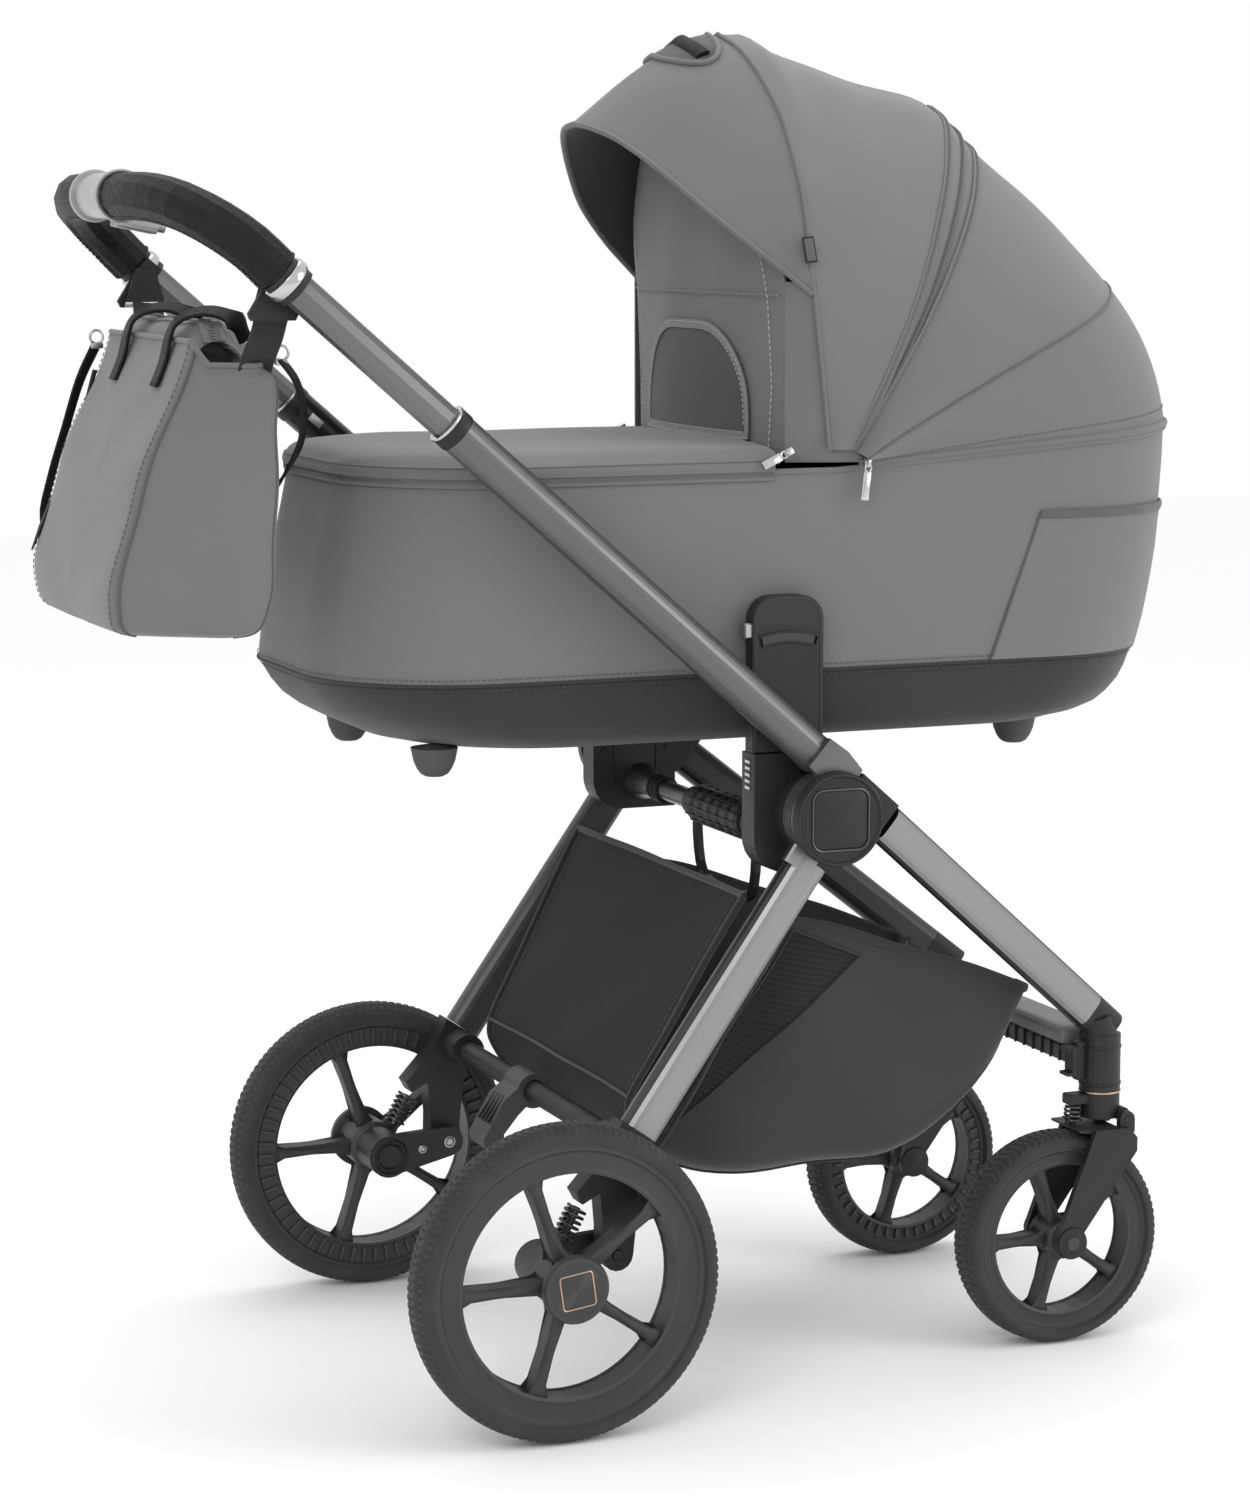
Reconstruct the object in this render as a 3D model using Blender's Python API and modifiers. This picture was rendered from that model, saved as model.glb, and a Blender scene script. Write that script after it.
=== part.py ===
"""Baby stroller with a carrycot: folding chassis, sprung wheels, telescopic handle, canopy and nursery bag.

Metres, +Z up. Every position below is written from the middle of the rear axle line at floor level:
+X runs to the front wheels, +Y to the pusher's left. The empty CHASSIS_ORIGIN carries that point, so
the whole stroller stands with its bounding box centred on the world origin. Each pair of parts is made
by a loop over SIDES, and each moving part hangs on an empty that stands on its joint's axis.
"""

import math

import bmesh
import bpy
from mathutils import Matrix, Vector

SIDES = (("R", -1), ("L", 1))
GAP = 0.0004

# Chassis: driving dimensions
CHASSIS_ORIGIN_X = -0.1669
HUB = (0.2705, 0.543)
TUBE_Y = 0.236
REAR_TRACK = 0.277
FRONT_TRACK = 0.170

# Rear wheels
REAR_R = 0.145
REAR_TYRE_IN = 0.1245
REAR_RIM_IN = 0.1035
REAR_TYRE_HALF = 0.0225
REAR_AXLE = (0.0, REAR_R)

# Front wheels and their casters
FRONT_R = 0.104
FRONT_TYRE_IN = 0.0875
FRONT_RIM_IN = 0.0735
FRONT_TYRE_HALF = 0.0215
FRONT_AXLE = (0.551, FRONT_R)
SWIVEL_X = 0.597
SWIVEL_TOP_Z = 0.2428
FORK_PIVOT = (0.613, 0.2190)
SPOKES = 5
SPOKE_ANGLE = math.radians(37)

# Legs
FRONT_LEG_TOP = (0.330, 0.532)
FRONT_LEG_END = (0.5795, 0.3254)
LEG_WIDE = 0.038
LEG_DEEP = 0.025
REAR_LEG_TOP = 0.044
REAR_LEG_END = 0.333
REAR_LEG_OFF = 0.010
REAR_BAR = (0.078, 0.250)
REAR_PIVOT = (0.063, 0.155)

# Hub layers, as distances from the middle plane
SOCKET_Y = (0.1845, 0.2125)
DRUM_Y = (0.2120, 0.2325)
KNUCKLE_Y = (0.2335, 0.2495)
HANDLE_PLATE_Y = (0.2505, 0.2585)
HUB_CAP_Y = (0.2595, 0.2700)
DRUM_R = 0.0415
CLEAR_R = 0.0435
PIN_R = 0.0080

# Handle
HANDLE_FOOT = (0.272, 0.589)
HANDLE_ANGLE = math.radians(138.9)
OUTER_TUBE = (0.012, 0.470)
OUTER_TUBE_R = 0.018
OUTER_BORE_R = 0.0160
BAR_R = 0.0155
BAR_FROM = 0.345
GRIP_R = 0.0208
GRIP_BORE = 0.0162
GRIP_FROM = 0.682
BAR_END = (-0.325, 1.100)
BEND_STEPS = 2

# Carrycot
COT_HALF = 0.195
COT_CORNER = 0.140
COT_FLOOR_Z = 0.607
COT_RIM_Z = 0.8530
COT_WALL = 0.012
CANOPY_PIVOT = (0.310, 0.862)
BOW_FRONT_ANGLE = math.radians(96.7)
BOW_MIDDLE_ANGLE = math.radians(57.5)


# ---------------------------------------------------------------- scene and finishes

def clear_scene():
    for obj in list(bpy.data.objects):
        bpy.data.objects.remove(obj, do_unlink=True)


def new_collection(name):
    collection = bpy.data.collections.new(name)
    bpy.context.scene.collection.children.link(collection)
    return collection


clear_scene()
PARTS = new_collection("baby_stroller")
CUTTERS = new_collection("cutters")


def finish(name, colour, roughness, metallic=0.0):
    made = bpy.data.materials.new(name)
    made.use_nodes = True
    shader = made.node_tree.nodes["Principled BSDF"]
    shader.inputs["Base Color"].default_value = (*colour, 1.0)
    shader.inputs["Roughness"].default_value = roughness
    shader.inputs["Metallic"].default_value = metallic
    return made


TUBE_METAL = finish("satin_gunmetal_tube", (0.18, 0.18, 0.18), 0.35, 0.9)
SILVER = finish("silver_metal", (0.62, 0.61, 0.60), 0.25, 1.0)
PLASTIC = finish("matte_black_plastic", (0.030, 0.030, 0.031), 0.55)
RUBBER = finish("tyre_rubber", (0.035, 0.035, 0.035), 0.8)
LEATHER = finish("black_leatherette", (0.028, 0.027, 0.027), 0.5)
GREY_FABRIC = finish("grey_fabric", (0.245, 0.245, 0.245), 0.85)
DARK_FABRIC = finish("charcoal_fabric", (0.050, 0.048, 0.049), 0.9)
LINING = finish("dark_lining", (0.033, 0.033, 0.034), 0.9)
SPRING_STEEL = finish("spring_steel", (0.02, 0.02, 0.02), 0.4, 0.8)


def empty(name, place, parent=None):
    """An empty at a place written from the chassis origin."""
    made = bpy.data.objects.new(name, None)
    made.empty_display_size = 0.03
    PARTS.objects.link(made)
    if parent is None:
        made.location = place
    else:
        made.parent = parent
        made.location = Vector(place) - chassis_place(parent)
    return made


ORIGIN = empty("chassis_origin", (CHASSIS_ORIGIN_X, 0.0, 0.0))


def chassis_place(anchor):
    """Where an empty stands, measured from the chassis origin."""
    place = Vector()
    while anchor is not None and anchor != ORIGIN:
        place += anchor.location
        anchor = anchor.parent
    return place


def joint(name, place, parent=None):
    return empty(name, place, parent or ORIGIN)


def hang(obj, anchor=None):
    """Parents an object that was modelled in chassis places to the empty that it moves with."""
    anchor = anchor or ORIGIN
    obj.parent = anchor
    obj.location = Vector(obj.location) - chassis_place(anchor)
    return obj


# ---------------------------------------------------------------- shapes

def from_bmesh(name, bm, material, sharp=35):
    bmesh.ops.recalc_face_normals(bm, faces=bm.faces)
    mesh = bpy.data.meshes.new(name)
    bm.to_mesh(mesh)
    bm.free()
    mesh.materials.append(material)
    mesh.shade_smooth()
    mesh.set_sharp_from_angle(angle=math.radians(sharp))
    obj = bpy.data.objects.new(name, mesh)
    PARTS.objects.link(obj)
    return obj


def from_curve(name, curve, material, sharp=35):
    """The mesh of a curve, with its caps welded on, so that it can be cut and joined."""
    source = bpy.data.objects.new(name + "_curve", curve)
    PARTS.objects.link(source)
    graph = bpy.context.evaluated_depsgraph_get()
    mesh = bpy.data.meshes.new_from_object(source.evaluated_get(graph))
    bpy.data.objects.remove(source)
    bm = bmesh.new()
    bm.from_mesh(mesh)
    bpy.data.meshes.remove(mesh)
    bmesh.ops.remove_doubles(bm, verts=bm.verts, dist=1e-6)
    return from_bmesh(name, bm, material, sharp)


def rod(name, material, start, end, radius, end_radius=None, segments=24):
    start, end = Vector(start), Vector(end)
    axis = end - start
    bm = bmesh.new()
    bmesh.ops.create_cone(
        bm, cap_ends=True, segments=segments, radius1=radius,
        radius2=radius if end_radius is None else end_radius, depth=axis.length,
    )
    turn = Vector((0, 0, 1)).rotation_difference(axis).to_matrix().to_4x4()
    bmesh.ops.transform(bm, matrix=Matrix.Translation((start + end) / 2) @ turn, verts=bm.verts)
    return from_bmesh(name, bm, material)


def block(name, material, low, high, bevel=0.0, segments=2):
    low, high = Vector(low), Vector(high)
    bm = bmesh.new()
    bmesh.ops.create_cube(bm, size=1.0)
    bmesh.ops.scale(bm, vec=high - low, verts=bm.verts)
    bmesh.ops.translate(bm, vec=(low + high) / 2, verts=bm.verts)
    if bevel:
        bmesh.ops.bevel(
            bm, geom=bm.edges[:], offset=bevel, segments=segments, affect="EDGES", profile=0.5
        )
    return from_bmesh(name, bm, material)


def beam(name, material, start, end, wide, deep, corner=None, segments=4):
    """A straight bar of flat-oval section: deep across Y, wide square to it."""
    start, end = Vector(start), Vector(end)
    along = (end - start).normalized()
    across = (Vector((0, 1, 0)) - along * along.y).normalized()
    turn = Matrix((along, across, along.cross(across))).transposed().to_4x4()
    bm = bmesh.new()
    bmesh.ops.create_cube(bm, size=1.0)
    bmesh.ops.scale(bm, vec=((end - start).length, deep, wide), verts=bm.verts)
    long_edges = [e for e in bm.edges if abs((e.verts[0].co - e.verts[1].co).x) > 1e-6]
    bmesh.ops.bevel(
        bm, geom=long_edges, offset=corner or deep * 0.45, segments=segments,
        affect="EDGES", profile=0.5,
    )
    bmesh.ops.transform(bm, matrix=Matrix.Translation((start + end) / 2) @ turn, verts=bm.verts)
    return from_bmesh(name, bm, material)


def plate(name, material, outline, y_range):
    """A flat plate: an (x, z) outline given thickness between two distances along Y."""
    low, high = sorted(y_range)
    curve = bpy.data.curves.new(name, "CURVE")
    curve.dimensions = "2D"
    curve.fill_mode = "BOTH"
    curve.extrude = (high - low) / 2
    spline = curve.splines.new("POLY")
    spline.points.add(len(outline) - 1)
    for point, (x, z) in zip(spline.points, outline):
        point.co = (x, z, 0.0, 1.0)
    spline.use_cyclic_u = True
    made = from_curve(name, curve, material)
    made.data.transform(Matrix.Rotation(math.radians(90), 4, "X"))
    made.data.transform(Matrix.Translation((0, (low + high) / 2, 0)))
    return made


def turned(name, material, profile, centre, side, steps=40):
    """A shape turned about a Y axis through centre. The profile is (radius, distance outwards) pairs;
    it is a closed ring, or it starts and ends on the axis."""
    points = [(radius, -side * out) for radius, out in profile]
    area = sum(
        a[0] * b[1] - b[0] * a[1] for a, b in zip(points, points[1:] + points[:1])
    )
    if area > 0:
        points.reverse()
    bm = bmesh.new()
    made = [bm.verts.new((radius, 0, height)) for radius, height in points]
    solid = points[0][0] < 1e-9 and points[-1][0] < 1e-9
    for first, second in zip(made, made[1:] + ([] if solid else made[:1])):
        bm.edges.new((first, second))
    mesh = bpy.data.meshes.new(name)
    bm.to_mesh(mesh)
    bm.free()
    mesh.materials.append(material)
    obj = bpy.data.objects.new(name, mesh)
    PARTS.objects.link(obj)
    obj.rotation_euler = (math.radians(90), 0, 0)
    obj.location = centre
    screw = obj.modifiers.new("turn", "SCREW")
    screw.axis = "Z"
    screw.steps = steps
    screw.render_steps = steps
    screw.use_merge_vertices = True
    screw.merge_threshold = 1e-5
    screw.use_smooth_shade = True
    return obj


def baked(obj):
    """The object with its modifiers and its own turn applied, ready for a Boolean."""
    bpy.context.view_layer.update()
    graph = bpy.context.evaluated_depsgraph_get()
    mesh = bpy.data.meshes.new_from_object(obj.evaluated_get(graph))
    mesh.transform(obj.matrix_world)
    obj.modifiers.clear()
    obj.data = mesh
    obj.rotation_euler = (0, 0, 0)
    obj.location = (0, 0, 0)
    return obj


def add_boolean(obj, piece, operation):
    modifier = obj.modifiers.new(operation.lower() + "_" + piece.name, "BOOLEAN")
    modifier.operation = operation
    modifier.solver = "EXACT"
    modifier.object = piece
    PARTS.objects.unlink(piece)
    CUTTERS.objects.link(piece)
    piece.hide_render = True
    piece.display_type = "WIRE"
    piece.parent = ORIGIN


def joined(obj, *pieces):
    for piece in pieces:
        add_boolean(obj, piece, "UNION")
    return obj


def cut(obj, *pieces):
    for piece in pieces:
        add_boolean(obj, piece, "DIFFERENCE")
    return obj


def sweep(name, material, points, radius, sides=3, wall=None):
    """A round tube along a path. With wall it is hollow, and its bore is open at both ends."""
    curve = bpy.data.curves.new(name, "CURVE")
    curve.dimensions = "3D"
    curve.bevel_depth = radius
    curve.bevel_resolution = sides
    curve.use_fill_caps = wall is None
    spline = curve.splines.new("POLY")
    spline.points.add(len(points) - 1)
    for point, place in zip(spline.points, points):
        point.co = (*place, 1.0)
    made = from_curve(name, curve, material)
    if wall is not None:
        shell = made.modifiers.new("wall", "SOLIDIFY")
        shell.thickness = wall
        shell.offset = -1.0
    return made


def sheet(name, material, rows, thickness, offset=-1.0):
    """A curved sheet through rows of points, given an even thickness."""
    bm = bmesh.new()
    grid = [[bm.verts.new(p) for p in row] for row in rows]
    for lower, upper in zip(grid, grid[1:]):
        for a, b, c, d in zip(lower, lower[1:], upper[1:], upper):
            bm.faces.new((a, b, c, d))
    made = from_bmesh(name, bm, material, sharp=60)
    shell = made.modifiers.new("thickness", "SOLIDIFY")
    shell.thickness = thickness
    shell.offset = offset
    shell.use_even_offset = True
    return made


def ring_solid(name, material, rings):
    """A closed form through rings of equal length, capped flat at both ends."""
    bm = bmesh.new()
    grid = [[bm.verts.new(p) for p in ring] for ring in rings]
    for lower, upper in zip(grid, grid[1:]):
        for i in range(len(lower)):
            j = (i + 1) % len(lower)
            bm.faces.new((lower[i], lower[j], upper[j], upper[i]))
    bm.faces.new(grid[0])
    bm.faces.new(grid[-1])
    return from_bmesh(name, bm, material, sharp=60)


def arc(centre, radius, start, end, count):
    """Points on an arc, from one angle in degrees to another."""
    angles = [math.radians(start + (end - start) * i / (count - 1)) for i in range(count)]
    return [(centre[0] + radius * math.cos(a), centre[1] + radius * math.sin(a)) for a in angles]


def smooth_path(points, steps):
    """A smooth path through hand-placed points, read at even steps between each two."""
    ends = [2 * points[0] - points[1], *points, 2 * points[-1] - points[-2]]
    path = []
    for a, b, c, d in zip(ends, ends[1:], ends[2:], ends[3:]):
        for i in range(steps):
            t = i / steps
            path.append(
                0.5 * ((2 * b) + (c - a) * t + (2 * a - 5 * b + 4 * c - d) * t * t
                       + (3 * b - a - 3 * c + d) * t * t * t)
            )
    return path + [points[-1]]


def lerp(a, b, t):
    return a + (b - a) * t


def table(pairs, at):
    """Straight-line reading of a short table of (position, value) pairs."""
    if at <= pairs[0][0]:
        return pairs[0][1]
    for (x0, v0), (x1, v1) in zip(pairs, pairs[1:]):
        if at <= x1:
            return lerp(v0, v1, (at - x0) / (x1 - x0))
    return pairs[-1][1]


# ---------------------------------------------------------------- places that follow from the dimensions

def handle_point(along, off=0.0):
    """(x, z) at a distance up the handle's centreline, and off it towards the front."""
    ux, uz = math.cos(HANDLE_ANGLE), math.sin(HANDLE_ANGLE)
    return (HANDLE_FOOT[0] + along * ux + off * uz, HANDLE_FOOT[1] + along * uz - off * ux)


def rear_leg_point(along, off=0.0):
    """(x, z) at a distance from the hub down the rear leg's centreline, and off it to the front."""
    dx, dz = REAR_AXLE[0] - HUB[0], REAR_AXLE[1] - HUB[1]
    length = math.hypot(dx, dz)
    dx, dz = dx / length, dz / length
    return (HUB[0] + along * dx - off * dz, HUB[1] + along * dz + off * dx)


def at_side(xz, y, side):
    return Vector((xz[0], side * y, xz[1]))


def layer(side, y_range):
    return tuple(sorted(side * y for y in y_range))


# ---------------------------------------------------------------- wheels

def tyre_profile(inner, outer, half):
    """A rounded tyre section, from its seat on the rim up over the tread."""
    height = outer - inner
    upper = [(0.0, 0.62), (0.45, 1.0), (0.80, 0.93), (0.94, 0.62), (1.0, 0.25)]
    right = [(inner + height * up, half * out) for up, out in upper]
    return right + [(radius, -out) for radius, out in reversed(right)]


def rim_body(name, side, centre, opening, seat, band_half, hub_radius, hub_y, steps):
    """Rim band, spokes and hub in one moulding, with a cap closing the hub's outer end."""
    band = baked(turned(
        name, PLASTIC,
        [(opening, -band_half), (opening, band_half), (seat, band_half), (seat, -band_half)],
        centre, side, steps,
    ))
    hub = baked(turned(
        name + "_hub", PLASTIC,
        [(0, hub_y[0]), (hub_radius * 0.8, hub_y[0]), (hub_radius, hub_y[0] + 0.004),
         (hub_radius, hub_y[1] - 0.003), (hub_radius - 0.002, hub_y[1]), (0, hub_y[1])],
        centre, side, steps=20,
    ))
    middle = Vector(centre)
    spokes = []
    for i in range(SPOKES):
        angle = SPOKE_ANGLE + i * 2 * math.pi / SPOKES
        way = Vector((math.cos(angle), 0, math.sin(angle)))
        spokes.append(beam(
            f"{name}_spoke_{i}", PLASTIC, middle + way * hub_radius * 0.6,
            middle + way * (opening + 0.004), 0.010, band_half * 1.5, corner=0.003, segments=1,
        ))
    return joined(band, hub, *spokes)


def wheels():
    for tag, side in SIDES:
        centre = at_side(REAR_AXLE, REAR_TRACK, side)
        arm = joint(f"rear_suspension_{tag}", at_side(REAR_PIVOT, REAR_TRACK, side), FOLD_AXIS)
        REAR_ARMS[tag] = arm
        spin = joint(f"rear_wheel_{tag}", centre, arm)
        rim = rim_body(
            f"rear_rim_{tag}", side, centre, REAR_RIM_IN, REAR_TYRE_IN - GAP, 0.016,
            0.0250, (-0.0235, 0.0300), 40,
        )
        stub_hole = rod(
            f"rear_rim_{tag}_bore", PLASTIC, at_side(REAR_AXLE, REAR_TRACK - 0.03, side),
            at_side(REAR_AXLE, REAR_TRACK + 0.0225, side), 0.0066, segments=16,
        )
        hang(cut(rim, stub_hole), spin)
        tyre = turned(
            f"rear_tyre_{tag}", RUBBER, tyre_profile(REAR_TYRE_IN, REAR_R, REAR_TYRE_HALF),
            centre, side,
        )
        hang(tyre, spin)

        centre = at_side(FRONT_AXLE, FRONT_TRACK, side)
        swivel = joint(f"caster_swivel_{tag}", (SWIVEL_X, side * FRONT_TRACK, SWIVEL_TOP_Z))
        CASTERS[tag] = swivel
        fork = joint(f"front_suspension_{tag}", at_side(FORK_PIVOT, FRONT_TRACK, side), swivel)
        FORKS[tag] = fork
        spin = joint(f"front_wheel_{tag}", centre, fork)
        rim = rim_body(
            f"front_rim_{tag}", side, centre, FRONT_RIM_IN, FRONT_TYRE_IN - GAP, 0.014,
            0.0190, (-0.0225, 0.0225), 32,
        )
        axle_hole = rod(
            f"front_rim_{tag}_bore", PLASTIC, at_side(FRONT_AXLE, FRONT_TRACK - 0.03, side),
            at_side(FRONT_AXLE, FRONT_TRACK + 0.03, side), 0.0056, segments=16,
        )
        hang(cut(rim, axle_hole), spin)
        tyre = turned(
            f"front_tyre_{tag}", RUBBER, tyre_profile(FRONT_TYRE_IN, FRONT_R, FRONT_TYRE_HALF),
            centre, side, steps=32,
        )
        hang(tyre, spin)


# ---------------------------------------------------------------- casters

def spring_column(name, start, end, radius, turns):
    """A coil spring as the ribbed column that its turns fill."""
    start, end = Vector(start), Vector(end)
    length = (end - start).length
    pitch = length / turns
    profile = [(0.0, 0.0)]
    for i in range(turns):
        profile += [(radius * 0.72, i * pitch), (radius, (i + 0.3) * pitch),
                    (radius, (i + 0.7) * pitch)]
    profile += [(radius * 0.72, length), (0.0, length)]
    column = baked(turned(name, SPRING_STEEL, profile, (0, 0, 0), 1, steps=8))
    turn = Vector((0, 1, 0)).rotation_difference(end - start).to_matrix().to_4x4()
    column.data.transform(Matrix.Translation(start) @ turn)
    return column


def casters():
    pivot_x, pivot_z = FORK_PIVOT
    axle_x, axle_z = FRONT_AXLE
    tyre_clear = FRONT_R + 0.0025
    head_low = 0.2185
    crown_top = 0.2125
    lug_x = (0.5605, 0.5765)
    for tag, side in SIDES:
        y = side * FRONT_TRACK
        head = rod(
            f"caster_{tag}", PLASTIC, (SWIVEL_X, y, head_low), (SWIVEL_X, y, SWIVEL_TOP_Z), 0.0195
        )
        lug = block(
            f"caster_{tag}_lug", PLASTIC, (lug_x[0], y - 0.009, 0.2320),
            (SWIVEL_X, y + 0.009, SWIVEL_TOP_Z - 0.0003), 0.0015, 1,
        )
        boss = rod(
            f"caster_{tag}_boss", PLASTIC, (pivot_x, y - 0.0195, pivot_z + 0.003),
            (pivot_x, y + 0.0195, pivot_z + 0.003), 0.0070, segments=16,
        )
        pin = rod(
            f"caster_{tag}_pin", SILVER, (pivot_x, y - 0.0285, pivot_z),
            (pivot_x, y + 0.0285, pivot_z), 0.0035, segments=12,
        )
        hang(joined(head, lug, boss, pin), CASTERS[tag])

        crown_line = [
            (lug_x[0], crown_top), (0.6030, crown_top), (0.6090, 0.2060), (0.6185, 0.2000),
            (0.6200, 0.1880),
        ]
        under = arc((axle_x, axle_z), tyre_clear, 50, math.degrees(
            math.acos((lug_x[0] - axle_x) / tyre_clear)), 7)
        fork = plate(
            f"fork_{tag}", PLASTIC, crown_line + under, (y - 0.0290, y + 0.0290)
        )
        pieces = []
        blade_line = [(0.5755, 0.2120), (0.6125, 0.2120), (0.6205, 0.2020), (0.6205, 0.1890)]
        blade_line += arc((axle_x, axle_z), 0.0160, 35, -205, 13)
        ear_line = [(pivot_x - 0.008, 0.2060), (pivot_x + 0.008, 0.2060)]
        ear_line += arc(FORK_PIVOT, 0.0080, 0, 180, 9)
        for i, (near, far) in enumerate(((-0.0345, -0.0275), (0.0275, 0.0345))):
            pieces.append(plate(f"fork_{tag}_blade_{i}", PLASTIC, blade_line, (y + near, y + far)))
        for i, (near, far) in enumerate(((-0.0280, -0.0205), (0.0205, 0.0280))):
            pieces.append(plate(f"fork_{tag}_ear_{i}", PLASTIC, ear_line, (y + near, y + far)))
        axle = rod(
            f"fork_{tag}_axle", SILVER, (axle_x, y - 0.0345, axle_z),
            (axle_x, y + 0.0345, axle_z), 0.0050, segments=16,
        )
        hole = rod(
            f"fork_{tag}_hole", PLASTIC, (pivot_x, y - 0.04, pivot_z),
            (pivot_x, y + 0.04, pivot_z), 0.0040, segments=12,
        )
        hang(cut(joined(fork, *pieces, axle), hole), FORKS[tag])

        middle_x = (lug_x[0] + lug_x[1]) / 2
        spring = spring_column(
            f"front_spring_{tag}", (middle_x, y, crown_top + GAP), (middle_x, y, 0.2320 - GAP),
            0.0074, 3,
        )
        hang(spring, CASTERS[tag])


# ---------------------------------------------------------------- chassis

def front_legs():
    slope = Vector((FRONT_LEG_END[0] - FRONT_LEG_TOP[0], 0, FRONT_LEG_END[1] - FRONT_LEG_TOP[1]))
    for tag, side in SIDES:
        top = at_side(FRONT_LEG_TOP, TUBE_Y - 0.0005, side)
        end = at_side(FRONT_LEG_END, FRONT_TRACK + 0.0015, side)
        hang(beam(f"front_leg_{tag}", TUBE_METAL, top, end, LEG_WIDE, LEG_DEEP))
        way = (end - top).normalized()
        y = side * FRONT_TRACK
        housing = rod(
            f"caster_housing_{tag}", PLASTIC, (SWIVEL_X, y, SWIVEL_TOP_Z + GAP),
            (SWIVEL_X, y, 0.300), 0.0198,
        )
        elbow = beam(
            f"caster_housing_{tag}_elbow", PLASTIC, end + way * GAP,
            end + way * 0.037, LEG_WIDE, LEG_DEEP,
        )
        crown = rod(
            f"caster_housing_{tag}_crown", PLASTIC, (SWIVEL_X, y, 0.290),
            (SWIVEL_X - 0.006, y, 0.3165), 0.0198, 0.0150,
        )
        guide = block(
            f"caster_housing_{tag}_guide", PLASTIC, (0.5690, y - 0.0045, 0.2560),
            (SWIVEL_X, y + 0.0045, 0.2940), 0.001, 1,
        )
        hang(joined(housing, elbow, crown, guide))
        slide = joint(f"swivel_lock_axis_{tag}", (0.5655, y, 0.275))
        lever = block(
            f"swivel_lock_{tag}", PLASTIC, (0.5625, y - 0.0085, 0.2600),
            (0.5685, y + 0.0085, 0.2900), 0.0012, 1,
        )
        tabs = [
            block(f"swivel_lock_{tag}_tab_{i}", PLASTIC, (0.5570, y - 0.0085, z),
                  (0.5650, y + 0.0085, z + 0.0035), 0.0008, 1)
            for i, z in enumerate((0.2612, 0.2855))
        ]
        hang(joined(lever, *tabs), slide)
    half = FRONT_TRACK - 0.0198 - GAP
    bar = block(
        "front_crossbar", PLASTIC, (0.5760, -half, 0.2640), (0.6040, half, 0.2860), 0.006, 3
    )
    ledge = block(
        "front_crossbar_ledge", SILVER, (0.5660, -half, 0.2850), (0.6080, half, 0.3030), 0.007, 3
    )
    hang(joined(bar, ledge))
    return slope


def hubs():
    for tag, side in SIDES:
        hub = rod(
            f"hub_{tag}", PLASTIC, at_side(HUB, DRUM_Y[0], side), at_side(HUB, DRUM_Y[1], side),
            DRUM_R, segments=40,
        )
        pin = rod(
            f"hub_{tag}_pin", PLASTIC, at_side(HUB, DRUM_Y[1] - 0.004, side),
            at_side(HUB, HUB_CAP_Y[0] + 0.003, side), PIN_R, segments=20,
        )
        cap = baked(turned(
            f"hub_{tag}_cap", PLASTIC,
            [(0, HUB_CAP_Y[0]), (0.0425, HUB_CAP_Y[0]), (0.0425, HUB_CAP_Y[1] - 0.003),
             (0.0400, HUB_CAP_Y[1]), (0, HUB_CAP_Y[1])],
            (HUB[0], 0, HUB[1]), side,
        ))
        leg_top = (FRONT_LEG_TOP[0] - 0.0024, FRONT_LEG_TOP[1] + 0.0020)
        upper = (leg_top[0] + 0.0121, leg_top[1] + 0.0147)
        lower = (leg_top[0] - 0.0121, leg_top[1] - 0.0147)
        shoulder = [upper, (HUB[0] + 0.0334, HUB[1] + 0.0371)]
        inner_arm = plate(
            f"hub_{tag}_inner_arm", PLASTIC,
            shoulder + arc(HUB, DRUM_R - 0.004, 60, -60, 7) + [lower], layer(side, DRUM_Y),
        )
        outer_arm = plate(
            f"hub_{tag}_outer_arm", PLASTIC, shoulder + arc(HUB, CLEAR_R, 47, -31, 7) + [lower],
            layer(side, (DRUM_Y[0] + 0.006, KNUCKLE_Y[1] - 0.001)),
        )
        socket_line = [(0.3000, 0.5980), (0.2110, 0.5980), (0.2110, 0.5180)]
        socket_line += arc((0.2410, 0.5180), 0.0300, 190, 270, 6) + [(0.3000, 0.4880)]
        socket = plate(f"hub_{tag}_socket", PLASTIC, socket_line, layer(side, SOCKET_Y))
        pocket = block(
            f"hub_{tag}_pocket", PLASTIC,
            (0.2215, min(side * 0.1890, side * 0.2072), 0.5200),
            (0.2835, max(side * 0.1890, side * 0.2072), 0.6100),
        )
        hang(cut(joined(hub, pin, cap, inner_arm, outer_arm, socket), pocket))


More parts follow.
